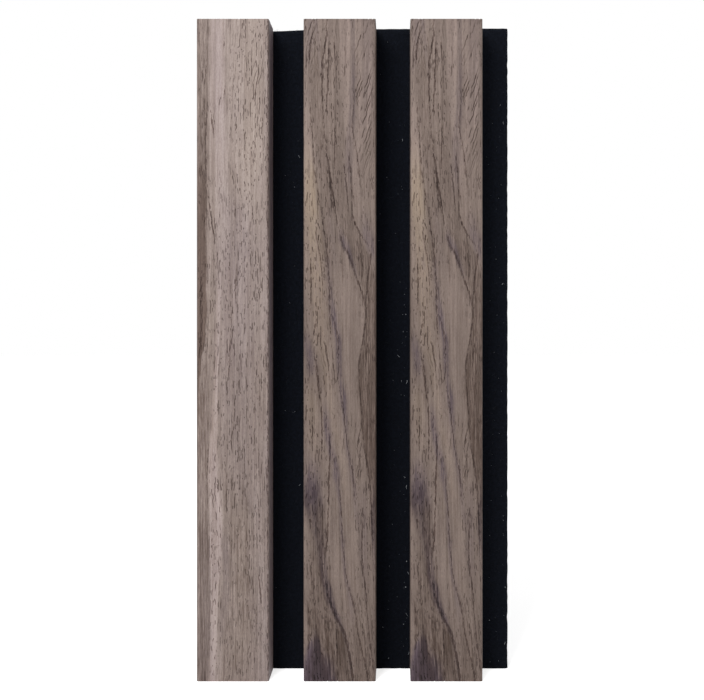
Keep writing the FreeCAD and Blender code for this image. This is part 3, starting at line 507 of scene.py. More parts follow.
        [(-36, 2, 1.5, 0), (-46, 3, 2, -0.5), (-85, 3.6, 2, -0.5), (-95, 4, 2, 0)],
        [(-58, -2, 1.3, 0), (-64, -2, 1.6, -0.5), (-90, -1.6, 1.6, -0.5), (-97, 0, 1.4, 0)],
    ],
    "slanted": [
        [(124, 8.6, 2, 0.4), (114, 8.8, 3, 0.85), (100, 9.2, 3.4, 0.9), (88, 9.6, 3.4, 0.9),
         (76, 10, 2.8, 0.75), (66, 10.5, 2.2, 0.4), (56, 10.5, 2, 0)],
        [(124, -10.8, 2.6, 0.8), (112, -11.4, 2.2, 0.8), (104, -12, 1.6, 0.5), (98, -12.4, 1, 0)],
        [(-24, 7.4, 1.2, 0), (-32, 7.2, 1.4, 0.8), (-44, 7.4, 1.4, 0.8), (-52, 7, 1.2, 0)],
    ],
    "crossed": [
        [(50, -8.6, 1.6, 0), (42, -8.2, 1.8, 0.6), (32, -7, 1.6, 0)],
        [(14, -5.6, 1.4, 0), (6, -5.2, 1.8, 0.7), (-10, -4.4, 1.8, 0.6), (-18, -4, 1.4, 0)],
        [(50, 5, 1.5, 0), (42, 6, 2.4, 0.7), (34, 7.6, 2.2, 0.6), (26, 8.6, 1.6, 0)],
        [(-94, -8, 2.4, 0), (-102, -7, 3, 0.25), (-118, 0, 4, 0.2), (-124, 2, 4, 0.2)],
    ],
}
# How squarely each colour ends at its edges: thin lines and cloudy patches fade out, bands end at a fibre.
EDGES = {
    "heart_and_arris_shade": 2.4,
    "lilac": 2.6,
    "straw": 2.6,
    "brown": 7,
    "pale": 9,
    "pores": 3,
    "slanted": 3,
    "crossed": 3,
}
# A streak that starts or stops past this height runs on over the end of the slat.
RUNS_OUT = 120

# Tints that the wood is multiplied by, and the most of each painted one that shows.
DARK_FIBRE = (0.6, 0.56, 0.54, 1)
DARK_SPECK = (0.62, 0.59, 0.6, 1)
DARK_THREAD = (0.55, 0.49, 0.47, 1)
PALE_THREAD = (1.28, 1.27, 1.28, 1)
DARK_MOTTLE = (0.6, 0.55, 0.58, 1)
PAINTS = {
    "pale": ((1.4, 1.41, 1.45, 1), 0.9),
    "straw": ((1.41, 1.42, 1.24, 1), 0.9),
    "brown": ((0.33, 0.27, 0.24, 1), 0.9),
    "lilac": ((0.46, 0.435, 0.62, 1), 1),
}
# The tint of the heart lines, also used for the painted shade along the right arris.
HEART_AND_ARRIS_SHADE = (0.3, 0.235, 0.22, 1)
OPEN_PORE = (0.2, 0.155, 0.14, 1)
# The two shades of the plain wood of each leaf, and of the bare wood of a sawn edge.
STRAIGHT_GROUND = (0.29, 0.229, 0.2, 1)
STRAIGHT_PALE = (0.42, 0.345, 0.312, 1)
FIGURED_GROUND = (0.182, 0.138, 0.117, 1)
FIGURED_PALE = (0.272, 0.211, 0.181, 1)
SAWN_GROUND = (0.12, 0.085, 0.065, 1)
SAWN_PALE = (0.22, 0.165, 0.13, 1)


def eased(points, column):
    """One column of a listed line, height by height, its corners eased over a few millimetres."""
    heights = np.arange(-130.0, 131.0)
    by_height = sorted(points)
    run = np.interp(heights, [p[0] for p in by_height], [p[column] for p in by_height])
    ease = np.hanning(9)
    ends = len(ease) // 2
    padded = np.pad(run, ends, mode="edge")
    return heights, np.convolve(padded, ease / ease.sum(), mode="valid")


def torn_places(across, up, seed):
    """The points' places across the leaf, pushed a little way left and right as torn fibres would be."""
    pushed = []
    for x, z in zip(across, up):
        long = noise.noise(Vector((x * 0.45, z * 0.16, seed)))
        short = noise.noise(Vector((x * 1.1, z * 0.45, seed + 7)))
        pushed.append(x + TORN_LONG * long + TORN_SHORT * short)
    return np.array(pushed)


def painted_depth(streaks, edge, across, up):
    """How deep a colour lies at each point of the leaf, from all its streaks and patches."""
    depth = np.zeros_like(across)
    for points in streaks:
        heights, middle = eased(points, 1)
        half_width = eased(points, 2)[1]
        strength = eased(points, 3)[1]
        top = np.inf if points[0][0] > RUNS_OUT else points[0][0]
        bottom = -np.inf if points[-1][0] < -RUNS_OUT else points[-1][0]
        strength = strength * ((heights <= top) & (heights >= bottom))
        offset = (across - np.interp(up, heights, middle)) / np.interp(up, heights, half_width)
        depth += np.interp(up, heights, strength) * np.exp(-np.abs(offset) ** edge)
    return depth


def grain_across(fibres, across, up):
    """Where each point lies among the fibres, as in a leaf that had grown straight."""
    labels = [label for label, points in fibres]
    runs = [eased(points, 1) for label, points in fibres]
    result = np.zeros_like(across)
    for height in np.unique(up):
        row = up == height
        places = [float(np.interp(height, heights, run)) for heights, run in runs]
        lie = np.interp(across[row], places, labels)
        before = across[row] < places[0]
        after = across[row] > places[-1]
        lie[before] = labels[0] + across[row][before] - places[0]
        lie[after] = labels[-1] + across[row][after] - places[-1]
        result[row] = lie
    return result


def walnut(name, ground, pale, openness):
    """Open-pored walnut under matt lacquer: fibres and pores along the grain, and painted colours."""
    finish = Finish(name)
    grain = finish.painted("grain").outputs["Vector"]
    painted = {colour: finish.painted(colour).outputs["Fac"] for colour in EDGES}
    fine = finish.cloud(grain, (0.32, 5, 1), detail=3, roughness=0.65)
    specks = finish.cloud(grain, (0.4, 1.1, 1), detail=2, roughness=0.7)
    threads = finish.cloud(grain, (0.5, 24, 1), detail=2, roughness=0.6)
    silk = finish.cloud(grain, (1.1, 42, 1), detail=3, roughness=0.55)
    bands = finish.cloud(grain, (4.2, 110, 1), detail=2)
    mottle = finish.cloud(grain, (3, 9, 1), detail=3)

    shade = finish.sum(finish.times(silk, 0.6), finish.times(bands, 0.45))
    wood = finish.blend(finish.soft_step(shade, 0.36, 0.7), ground, pale)
    wood = finish.stain(finish.soft_step(fine, 0.4, 0.7, 0, 0.4), wood, DARK_FIBRE)
    wood = finish.stain(finish.soft_step(specks, 0.35, 0.7, 0, 0.4), wood, DARK_SPECK)
    wood = finish.stain(finish.soft_step(threads, 0.57, 0.7, 0, 0.6), wood, DARK_THREAD)
    wood = finish.stain(finish.soft_step(threads, 0.46, 0.3, 0, 0.5), wood, PALE_THREAD)
    wood = finish.stain(finish.soft_step(mottle, 0.42, 0.7, 0, 0.2), wood, DARK_MOTTLE)

    frayed = finish.sum(finish.times(threads, 0.55), finish.times(fine, 0.6))
    broken = finish.soft_step(frayed, 0.4, 0.76, -0.3, 0.3)
    for colour, (tint, most) in PAINTS.items():
        fraying = finish.times(broken, finish.soft_step(painted[colour], 0, 0.6))
        depth = finish.sum(painted[colour], fraying)
        wood = finish.stain(finish.soft_step(depth, -0.1, 0.85, 0, most), wood, tint)

    flecks = finish.cloud(grain, (0.28, 2.4, 1), detail=2, roughness=0.6)
    torn = finish.soft_step(flecks, 0.32, 0.68, -0.45, 0.45)
    tearing = finish.times(torn, finish.soft_step(painted["heart_and_arris_shade"], 0.05, 0.4))
    drawn = finish.sum(painted["heart_and_arris_shade"], tearing)
    # Dark heart lines, and the painted shade along the right arris, are laid over the wood here.
    wood = finish.stain(finish.soft_step(drawn, 0.25, 0.65, 0, 0.9), wood, HEART_AND_ARRIS_SHADE)

    along = finish.step("SeparateXYZ", {"Vector": grain})
    waver = finish.cloud(grain, (2.4, 2.6, 1), detail=1)

    def strokes(slant, cell, slimness, longest, fewest, lean):
        """Slim dark strokes, at most one to a cell, each with its own place, lean, length and strength."""
        leaning = finish.sum(finish.times(along.outputs["Y"], slant), finish.times(waver, 0.8))
        across = finish.sum(along.outputs["X"], leaning)
        cell_across = finish.times(across, 1 / cell[0])
        cell_along = finish.times(along.outputs["Y"], 1 / cell[1])
        flat = finish.step("CombineXYZ", {"X": cell_across, "Y": cell_along}).outputs[0]
        spot = {"Vector": flat, "Scale": 1, "Randomness": 1}
        cells = finish.step("TexVoronoi", spot, voronoi_dimensions="2D")
        chance = finish.step("SeparateColor", {"Color": cells.outputs["Color"]})
        offset = {0: flat, 1: cells.outputs["Position"]}
        away = finish.step("VectorMath", offset, operation="SUBTRACT")
        away = finish.step("SeparateXYZ", {"Vector": away.outputs[0]})
        tilt = finish.times(finish.sum(chance.outputs["Green"], -0.5), lean)
        sideways = finish.sum(away.outputs["X"], finish.times(away.outputs["Y"], tilt))
        beside = finish.step("Math", {0: sideways}, operation="ABSOLUTE").outputs[0]
        beyond = finish.step("Math", {0: away.outputs["Y"]}, operation="ABSOLUTE").outputs[0]
        reach = finish.soft_step(chance.outputs["Blue"], 0, 1, 0.3 * longest, longest)
        left_over = finish.step("Math", {0: reach, 1: beyond}, operation="SUBTRACT").outputs[0]
        body = finish.soft_step(beside, slimness, 0.25 * slimness)
        tapered = finish.times(body, finish.soft_step(left_over, 0, 0.1))
        return finish.times(tapered, finish.soft_step(chance.outputs["Red"], fewest, fewest + 0.3))

    long_pores = strokes(0, cell=(0.9, 8), slimness=0.23, longest=0.42, fewest=0.5, lean=1.2)
    short_pores = strokes(0, cell=(0.66, 2.9), slimness=0.31, longest=0.42, fewest=0.5, lean=1.3)
    even_pores = finish.least(finish.sum(long_pores, short_pores), 1)
    crowding = finish.sum(finish.soft_step(mottle, 0.35, 0.6, 0.25, 0.75), painted["pores"])
    crowding = finish.sum(crowding, finish.times(painted["heart_and_arris_shade"], 0.6))
    opened = finish.times(finish.soft_step(crowding, 0, 1), openness)
    slanted = strokes(-0.31, cell=(0.95, 12), slimness=0.27, longest=0.45, fewest=0.05, lean=0.5)
    crossed = strokes(0.14, cell=(0.9, 12), slimness=0.26, longest=0.45, fewest=0.25, lean=0.6)
    leaning_pores = finish.sum(
        finish.times(slanted, painted["slanted"]),
        finish.times(crossed, painted["crossed"]),
    )
    open_pores = finish.least(finish.sum(finish.times(even_pores, opened), leaning_pores), 1)
    wood = finish.stain(open_pores, wood, OPEN_PORE)

    finish.fill(finish.shader, {"Base Color": wood, "Specular IOR Level": 0.25})
    finish.fill(finish.shader, {"Roughness": finish.soft_step(open_pores, 0, 1, 0.6, 0.85)})
    relief = finish.sum(finish.times(fine, 0.25), finish.times(open_pores, -1))
    finish.bump(relief, 0.09)
    return finish.material


def cut_veneer():
    """The sawn edge of the leaf: dark, fibrous and unsealed."""
    finish = Finish("veneer_edge")
    place = finish.place()
    fibres = finish.cloud(place, (0.25, 0.25, 0.8), detail=3, roughness=0.7)
    colour = finish.blend(finish.soft_step(fibres, 0.35, 0.65), SAWN_GROUND, SAWN_PALE)
    finish.fill(finish.shader, {"Base Color": colour, "Specular IOR Level": 0.15})
    finish.fill(finish.shader, {"Roughness": finish.soft_step(fibres, 0.3, 0.7, 0.75, 0.95)})
    finish.bump(fibres, 0.08)
    return finish.material


def folded_section():
    """The leaf's outside from one back edge round to the other: x and y, and how far along the sheet."""
    half = SLAT_WIDTH / 2
    left = [(-half, y) for y in np.linspace(SLAT_BACK, SLAT_FRONT + ARRIS, SIDE_LINES)]
    for turn in np.linspace(0, math.pi / 2, CORNER_LINES + 1)[1:]:
        x = -half + ARRIS - ARRIS * math.cos(turn)
        y = SLAT_FRONT + ARRIS - ARRIS * math.sin(turn)
        left.append((x, y))
    face = [(x, SLAT_FRONT) for x in np.linspace(-half + ARRIS, half - ARRIS, FACE_LINES + 2)[1:-1]]
    right = [(-x, y) for x, y in reversed(left)]
    places = np.array(left + face + right)
    steps = np.hypot(*np.diff(places, axis=0).T)
    along = np.concatenate([[0], np.cumsum(steps)])
    return places, along - along[-1] / 2


def row_heights():
    """Heights of the mesh's rows, twice as close where the figure leans most."""
    even = np.linspace(-SLAT_HALF_LENGTH, SLAT_HALF_LENGTH, LEAF_ROWS)
    between = (even[1:] + even[:-1]) / 2
    leaning = [z for z in between if any(low < z < high for low, high in LEANING)]
    return np.sort(np.concatenate([even, leaning]))


def with_crisp_edges(piece):
    """Makes the piece's modifiers part of its mesh, and keeps every edge of more than 40 degrees sharp."""
    bpy.context.view_layer.update()
    solid = bpy.data.meshes.new_from_object(piece.evaluated_get(bpy.context.evaluated_depsgraph_get()))
    piece.modifiers.clear()
    piece.data = solid
    solid.set_sharp_from_angle(angle=math.radians(40))
    return piece


def veneer(name, centre, fibres, colours, material, cut_edge, seed):
    """One folded leaf round its slat, with a saw-cut edge at both ends."""
    section, across = folded_section()
    heights = row_heights()
    mesh = bpy.data.meshes.new(name)
    points = []
    for height in heights:
        at_saw_cut = abs(height) >= SLAT_HALF_LENGTH
        for (x, y), s in zip(section, across):
            ragged = noise.noise(Vector((s * 1.9, seed, height)))
            pull = SAWN_BACK + RAGGED * max(ragged, 0) + (CHIP if ragged > CHIP_CHANCE else 0)
            ripple = RIPPLE * noise.noise(Vector((s * 0.6, height * 0.03, seed)))
            z = height - math.copysign(pull, height) if at_saw_cut else height
            points.append(((x + centre) * MM, (y + ripple) * MM, z * MM))
    wide = len(section)
    faces = []
    for row in range(len(heights) - 1):
        for column in range(wide - 1):
            first = row * wide + column
            faces.append((first, first + 1, first + wide + 1, first + wide))
    mesh.from_pydata(points, [], faces)
    mesh.polygons.foreach_set("use_smooth", [True] * len(faces))

    up = np.repeat(heights, wide)
    over = np.tile(across, len(heights))
    grain = np.zeros((len(up), 3))
    grain[:, 0] = grain_across(fibres, over, up) + seed * APART[0]
    grain[:, 1] = up + seed * APART[1]
    mesh.attributes.new("grain", "FLOAT_VECTOR", "POINT").data.foreach_set("vector", grain.ravel())
    torn = torn_places(over, up, seed)
    for colour, streaks in colours.items():
        depth = painted_depth(streaks, EDGES[colour], over if colour == "heart_and_arris_shade" else torn, up)
        mesh.attributes.new(colour, "FLOAT", "POINT").data.foreach_set("value", depth)

    mesh.materials.append(material)
    mesh.materials.append(cut_edge)
    piece = bpy.data.objects.new(name, mesh)
    bpy.context.scene.collection.objects.link(piece)
    sheet = piece.modifiers.new("thickness", "SOLIDIFY")
    sheet.thickness = VENEER_THICKNESS * MM
    sheet.offset = -1
    sheet.use_even_offset = True
    sheet.material_offset_rim = 1
    return with_crisp_edges(piece)


straight_leaf = walnut("walnut_straight_leaf", STRAIGHT_GROUND, STRAIGHT_PALE, openness=0.85)
figured_leaf = walnut("walnut_figured_leaf", FIGURED_GROUND, FIGURED_PALE, openness=0.8)
veneer_edge = cut_veneer()
LEAVES = {
    "left": (STRAIGHT_FIBRES, STRAIGHT_COLOURS, straight_leaf, 1),
    "middle": (SWEEPING_FIBRES, SWEEPING_COLOURS, figured_leaf, 2),
    "right": (SWEEPING_FIBRES, SWEEPING_COLOURS, figured_leaf, 2),
}
for side, centre in SLATS.items():
    fibres, colours, material, seed = LEAVES[side]
    leaf = veneer(side + "_veneer_leaf", centre, fibres, colours, material, veneer_edge, seed)
    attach(leaf, "root")
    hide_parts(side + "_slat_veneer")


# The backing is a 9 mm board of black polyester felt, needle-punched until it is stiff, and sawn off with
# the slats. It is matted, not woven: soft lumps and needle pits on its faces, and fuzzy cut edges.

FELT_HALF_WIDTH = 58.75
FELT_FRONT = -9.0
FELT_HALF_LENGTH = 124
# The free edge of the lap has no slat over it, and stands a little fuller than the rest.
LAP_SWELL = 0.45
FELT_BLACK = (0.0025, 0.0033, 0.0058, 1)
FELT_GREY = (0.0068, 0.0088, 0.015, 1)
# How far the saw cut the front of the felt short of the slats, or left it long, from left to right, and
# how far below the cut the felt is pushed down or drawn up with it.
TOP_CUT = [(-58, 0.8), (-31, 0.8), (-25, 0.52), (-19, 0.2), (8, -0.2), (20, -0.3), (48, -0.48), (59, -0.48)]
CUT_REACH = 4
FELT_LINE_STEP = 2.0
CLOSE_LINE_STEP = 0.4
RIM = 0.35
FELT_DEPTHS = (FELT_FRONT, FELT_FRONT + RIM, -7, -5.2, -3.6, -1.9, -RIM, 0)
# How far the faces sink: everywhere, with the lumps, in the needle pits, and where a slat presses on them.
LEAST_SINK = 0.09
LUMPS = 0.1
NEEDLE_PITS = 0.25
PRESSED_SINK = 0.03
SOFT_CORNER = 0.16
SIDE_WANDER = 0.3
END_WANDER = 0.22
# The staples' crowns, and how far round one the felt is dented.
STAPLE_HEIGHTS = (-105, -35, 35, 105)
CROWN_HALF_WIDTH = 6.4
CROWN_INNER_FACE = 1.05
CROWN_HALF_HEIGHT = 0.5
DENT_REACH = 1.3
DENT_CURVE = 1.6


def matted_felt():
    """Matted black fibre, a little lighter where fibres lie across the surface."""
    finish = Finish("black_felt")
    place = finish.place()
    matting = finish.cloud(place, (1.1, 1.1, 1.1), detail=5, roughness=0.7)
    fibres = finish.cloud(place, (0.16, 0.5, 0.9), detail=3, roughness=0.6)
    crossed = finish.cloud(place, (0.9, 0.5, 0.16), detail=3, roughness=0.6)
    light = finish.soft_step(finish.sum(finish.times(fibres, 0.5), finish.times(crossed, 0.5)), 0.42, 0.66)
    ground = finish.blend(finish.soft_step(matting, 0.35, 0.7), FELT_BLACK, FELT_GREY)
    colour = finish.blend(finish.times(light, 0.6), ground, FELT_GREY)
    finish.fill(finish.shader, {"Base Color": colour, "Specular IOR Level": 0.05, "Sheen Weight": 0.02})
    finish.fill(finish.shader, {"Sheen Roughness": 0.6})
    finish.fill(finish.shader, {"Roughness": finish.soft_step(matting, 0.3, 0.7, 0.9, 1)})
    finish.bump(finish.sum(finish.times(matting, 0.7), finish.times(light, 0.5)), 0.25)
    return finish.material


def lines_across(low, high, step, close_to, reach):
    """Places of the mesh's lines: even ones, and close ones near places where something is pressed in."""
    close = [p + d for p in close_to for d in np.arange(-reach, reach + 0.1, CLOSE_LINE_STEP)]
    even = np.arange(low + step, high - step / 2, step)
    even = [p for p in even if all(abs(p - c) > 0.5 for c in close)]
    return [low, low + RIM] + sorted(close + even) + [high - RIM, high]


def staple_dent(x, z):
    """How far the felt is pressed in round the crown of a staple."""
    deepest = 0
    for centre in SLATS.values():
        for height in STAPLE_HEIGHTS:
            beside = max(abs(x - centre) - CROWN_HALF_WIDTH - 0.15, 0)
            above = max(abs(z - height) - CROWN_HALF_HEIGHT - 0.1, 0)
            slope = max(0, 1 - math.hypot(beside, above) / DENT_REACH) ** DENT_CURVE
            deepest = max(deepest, CROWN_INNER_FACE * slope)
    return deepest


def felt_board():
    """A closed board whose faces are lumpy and pitted, and whose cut edges are soft and uneven."""
    crown_ends = [c + e for c in SLATS.values() for e in (-CROWN_HALF_WIDTH, CROWN_HALF_WIDTH)]
    xs = lines_across(-FELT_HALF_WIDTH, FELT_HALF_WIDTH, FELT_LINE_STEP, crown_ends, 1.7)
    zs = lines_across(-FELT_HALF_LENGTH, FELT_HALF_LENGTH, FELT_LINE_STEP, STAPLE_HEIGHTS, 2.1)
    last = (len(xs) - 1, len(FELT_DEPTHS) - 1, len(zs) - 1)
    mesh = bmesh.new()
    made = {}

    def corner(i, j, k):
        if (i, j, k) in made:
            return made[i, j, k]
        x, y, z = xs[i], FELT_DEPTHS[j], zs[k]
        here = Vector((x, y, z))
        lumps = noise.noise(here * 0.35) * 0.5 + noise.noise(here * 0.9) * 0.5
        pits = max(0, noise.noise(here * 1.7 + Vector((40, 0, 0))) - 0.25)
        sink = LEAST_SINK + LUMPS * lumps + NEEDLE_PITS * pits
        under_slat = any(abs(x - c) < SLAT_WIDTH / 2 for c in SLATS.values())
        on_edges = (i in (0, last[0])) + (j in (0, last[1])) + (k in (0, last[2]))
        pull_in = SOFT_CORNER if on_edges > 1 else 0
        if i in (0, last[0]):
            x -= math.copysign(SIDE_WANDER * abs(noise.noise(here * 0.5)) + pull_in, x)
            x += LAP_SWELL if i == last[0] else 0
        if k in (0, last[2]):
            z -= math.copysign(END_WANDER * abs(noise.noise(here * 0.45)) + pull_in, z)
        near_top = max(0, zs[k] - FELT_HALF_LENGTH + CUT_REACH) / CUT_REACH
        z -= float(np.interp(x, *zip(*TOP_CUT))) * (1 - j / last[1]) * near_top
        if j == 0:
            y += (PRESSED_SINK if under_slat else sink) + pull_in
        if j == last[1]:
            y -= max(sink * 0.7, staple_dent(x, z)) + pull_in
        made[i, j, k] = mesh.verts.new((x * MM, y * MM, z * MM))
        return made[i, j, k]

    def side(first, second, place):
        for a in range(first):
            for b in range(second):
                quad = [place(a, b), place(a + 1, b), place(a + 1, b + 1), place(a, b + 1)]
                mesh.faces.new([corner(*q) for q in quad]).smooth = True

    for end in (0, last[1]):
        side(last[0], last[2], lambda a, b: (a, end, b))
    for end in (0, last[0]):
        side(last[1], last[2], lambda a, b: (end, a, b))
    for end in (0, last[2]):
        side(last[0], last[1], lambda a, b: (a, b, end))
    bmesh.ops.recalc_face_normals(mesh, faces=mesh.faces)
    board = bpy.data.meshes.new("felt_board")
    mesh.to_mesh(board)
    mesh.free()
    board.materials.append(matted_felt())
    board.set_sharp_from_angle(angle=math.radians(60))
    piece = bpy.data.objects.new("felt_board", board)
    bpy.context.scene.collection.objects.link(piece)
    return piece


board = felt_board()
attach(board, "root")
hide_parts("felt_backing")


# Loose ends of the felt's own fibres stand out from its faces and cut edges. They are polyester, about
# 0.04 mm thick and 1 to 3 mm long, held by the matting at one end or both.

FIBRE_THICKNESS = 0.045
# A thread has three corners, at these angles round it.
THREAD_CORNERS = (0, 2.094, 4.189)
FUZZ_DARK = (0.008, 0.0085, 0.011, 1)
FUZZ_LIGHT = (0.04, 0.043, 0.052, 1)
LAP_LEFT = 48.25
GAPS = ((-31.75, -18.75), (8.25, 21.25), (LAP_LEFT, FELT_HALF_WIDTH))
# How many loose ends: to a square millimetre in the gaps, then on a side, a sawn end and the wall face.
GAP_ENDS = 0.16
SIDE_ENDS = 420
SAWN_ENDS = 260
WALL_ENDS = 1300
# Nothing of the fuzz passes these corners.
FUZZ_LOWEST = (-58.95, -9.35, -124.3)
FUZZ_HIGHEST = (59.45, 0.25, 124.3)


def fibre_finish(name, dark, light):
    """Loose fibre, each one of its own shade, with a faint shine along it."""
    finish = Finish(name)
    shade = finish.painted("shade").outputs["Fac"]
    patchy = finish.cloud(finish.place(), (0.6, 0.6, 0.6), detail=2)
    colour = finish.blend(finish.least(finish.times(shade, finish.sum(patchy, 0.5)), 1), dark, light)
    finish.fill(finish.shader, {"Base Color": colour, "Specular IOR Level": 0.1})
    finish.fill(finish.shader, {"Roughness": finish.soft_step(patchy, 0.3, 0.7, 0.6, 0.85)})
    finish.bump(patchy, 0.02)
    return finish.material


class FibreMesh:
    """Many thin fibres in one mesh, each a three-sided thread along its own points, of its own shade."""

    def __init__(self):
        self.points = []
        self.faces = []
        self.shades = []

    def thread(self, path, thickness, shade):
        path = [Vector(p) for p in path]
        start = len(self.points)
        for n, place in enumerate(path):
            run = (path[min(n + 1, len(path) - 1)] - path[max(n - 1, 0)]).normalized()
            side = run.orthogonal().normalized()
            other = run.cross(side)
            slim = thickness / 2 * (0.55 if n in (0, len(path) - 1) else 1)
            for turn in THREAD_CORNERS:
                around = side * math.cos(turn) + other * math.sin(turn)
                self.points.append((place + around * slim) * MM)
                self.shades.append(shade)
        for n in range(len(path) - 1):
            for a, b in ((0, 1), (1, 2), (2, 0)):
                low = start + 3 * n
                self.faces.append((low + a, low + b, low + b + 3, low + a + 3))
        end = start + 3 * (len(path) - 1)
        self.faces += [(start + 2, start + 1, start), (end, end + 1, end + 2)]

    def piece(self, name, material):
        mesh = bpy.data.meshes.new(name)
        mesh.from_pydata(self.points, [], self.faces)
        mesh.attributes.new("shade", "FLOAT", "POINT").data.foreach_set("value", self.shades)
        mesh.polygons.foreach_set("use_smooth", [True] * len(self.faces))
        mesh.materials.append(material)
        made = bpy.data.objects.new(name, mesh)
        bpy.context.scene.collection.objects.link(made)
        return made


def loose_end(chance, foot, out, spread, low, high):
    """The path of a fibre that leaves a face at its foot, curls over and comes back, within limits."""
    length = chance.uniform(0.7, 2.6)
    across = Vector((chance.gauss(0, 1), chance.gauss(0, 1), chance.gauss(0, 1)))
    across = (across - out * across.dot(out)).normalized()
    curl = out.cross(across) * chance.uniform(-0.35, 0.35)
    path = []
    for n in range(5):
        t = n / 4
        lift = spread * math.sin(math.pi * min(t * 1.1, 1)) - 0.06
        place = foot + across * (length * t) + curl * length * math.sin(math.pi * t) + out * lift
        path.append([min(max(p, a), b) for p, a, b in zip(place, low, high)])
    return path


def scatter(fuzz, chance, count, low, high, out, spread, limits=(FUZZ_LOWEST, FUZZ_HIGHEST)):
    """Sets loose ends at random feet between two corners of the felt, and keeps them within limits."""
    for _ in range(count):
        foot = Vector([chance.uniform(a, b) for a, b in zip(low, high)])
        lift = chance.uniform(0.1, spread)
        path = loose_end(chance, foot, Vector(out), lift, *limits)
        fuzz.thread(path, FIBRE_THICKNESS, chance.random() ** 2)


chance = random.Random(41)
fuzz = FibreMesh()
for left, right in GAPS:
    count = int((right - left) * 2 * FELT_HALF_LENGTH * GAP_ENDS)
    low = (left + 0.2, -8.92, -123)
    high = (right - 0.2, -8.88, 123)
    limits = ((left + 0.05, -9.5, -124), (right - 0.05, -8.8, 123.6))
    scatter(fuzz, chance, count, low, high, out=(0, -1, 0), spread=0.45, limits=limits)
for edge in (-1, 1):
    x = edge * (FELT_HALF_WIDTH - 0.2) + (0.8 * LAP_SWELL if edge > 0 else 0)
    low = (x, -8.6, -123.5)
    high = (x, -0.4, 123.5)
    scatter(fuzz, chance, SIDE_ENDS, low, high, out=(edge, 0, 0), spread=0.22)
    z = edge * (FELT_HALF_LENGTH - 0.25)
    scatter(fuzz, chance, SAWN_ENDS, (-58, -8.6, z), (58, -0.4, z), out=(0, 0, edge), spread=0.5)
scatter(fuzz, chance, WALL_ENDS, (-58, -0.12, -123), (58, -0.12, 123), out=(0, 1, 0), spread=0.3)
fuzz_piece = fuzz.piece("felt_fuzz", fibre_finish("felt_fibre", FUZZ_DARK, FUZZ_LIGHT))
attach(fuzz_piece, "root")


# Two beads of hot-melt glue hold each slat to the felt. They were squeezed flat when the slat was pressed
# on, so their sides wander, and they show only as a thin pale line at the sawn ends.

GLUE_HALF_WIDTH = 1.75
GLUE_OFFSET = 9.95
GLUE_WANDER = 0.35
GLUE_ROWS = 140
# A bead's outline: how far to the side, as a share of its half width, and how far off the slat's back.
GLUE_OUTLINE = ((-1, 0.15), (-0.93, 0.02), (0.93, 0.02), (1, 0.15), (0.93, 0.28), (-0.93, 0.28))
GLUE_CREAM = (0.55, 0.48, 0.33, 1)
GLUE_AMBER = (0.42, 0.33, 0.19, 1)


def set_glue():
    """Set glue: cream, with amber streaks and a dull shine."""
    finish = Finish("set_glue")
    place = finish.place()
    streaks = finish.cloud(place, (1.2, 0.6, 6), detail=3)
    bubbles = finish.cloud(place, (0.3, 0.3, 0.3), detail=2)
    colour = finish.blend(finish.soft_step(streaks, 0.35, 0.65), GLUE_CREAM, GLUE_AMBER)
    finish.fill(finish.shader, {"Base Color": colour, "Specular IOR Level": 0.4})
    finish.fill(finish.shader, {"Roughness": finish.soft_step(bubbles, 0.3, 0.7, 0.35, 0.6)})
    finish.bump(bubbles, 0.05)
    return finish.material


def glue_bead(name, centre, seed, material):
    """One squeezed bead: flat above and below, with rounded sides that wander along the slat."""
    points = []
    heights = np.linspace(-FELT_HALF_LENGTH + 0.05, FELT_HALF_LENGTH - 0.05, GLUE_ROWS)
    for height in heights:
        left = GLUE_HALF_WIDTH + GLUE_WANDER * noise.noise(Vector((seed, 0, height * 0.09)))
        right = GLUE_HALF_WIDTH + GLUE_WANDER * noise.noise(Vector((seed, 9, height * 0.09)))
        for side, level in GLUE_OUTLINE:
            reach = left if side < 0 else right
            points.append(((centre + side * reach) * MM, (SLAT_BACK + level) * MM, height * MM))
    count = len(GLUE_OUTLINE)
    faces = []
    for row in range(len(heights) - 1):
        for n in range(count):
            low, high = row * count, (row + 1) * count
            faces.append((low + n, low + (n + 1) % count, high + (n + 1) % count, high + n))
    top = count * (len(heights) - 1)
    faces += [tuple(range(count))[::-1], tuple(range(top, top + count))]
    mesh = bpy.data.meshes.new(name)
    mesh.from_pydata(points, [], faces)
    mesh.materials.append(material)
    piece = bpy.data.objects.new(name, mesh)
    bpy.context.scene.collection.objects.link(piece)
    return piece


glue = set_glue()
for number, (side, centre) in enumerate(SLATS.items()):
    for edge, offset in (("left", -GLUE_OFFSET), ("right", GLUE_OFFSET)):
        name = f"{side}_slat_{edge}_glue_bead"
        bead = glue_bead(name + "_squeezed", centre + offset, 3 * number + offset, glue)
        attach(bead, "root")
        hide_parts(name)


# Four staples hold each slat from behind. They are flat galvanised wire, driven through the felt into the
# fibreboard until the crown lay just below the wall face. The zinc is dull, with fine lines along it.

ZINC = (0.50, 0.51, 0.52, 1)
ZINC_DULL = (0.27, 0.275, 0.29, 1)


def galvanised_wire():
    """Drawn steel wire with a dull zinc coat."""
    finish = Finish("galvanised_wire")
    place = finish.place()
    drawn = finish.cloud(place, (5, 0.08, 0.08), detail=3)
    bloom = finish.cloud(place, (0.7, 0.7, 0.7), detail=3)
    colour = finish.blend(finish.soft_step(bloom, 0.35, 0.7), ZINC, ZINC_DULL)
    finish.fill(finish.shader, {"Base Color": colour, "Metallic": 1.0})
    finish.fill(finish.shader, {"Roughness": finish.soft_step(bloom, 0.3, 0.7, 0.3, 0.55)})
    finish.bump(drawn, 0.015)
    return finish.material


zinc_wire = galvanised_wire()
for side in SLATS:
    dress(side + "_slat_staples", zinc_wire)


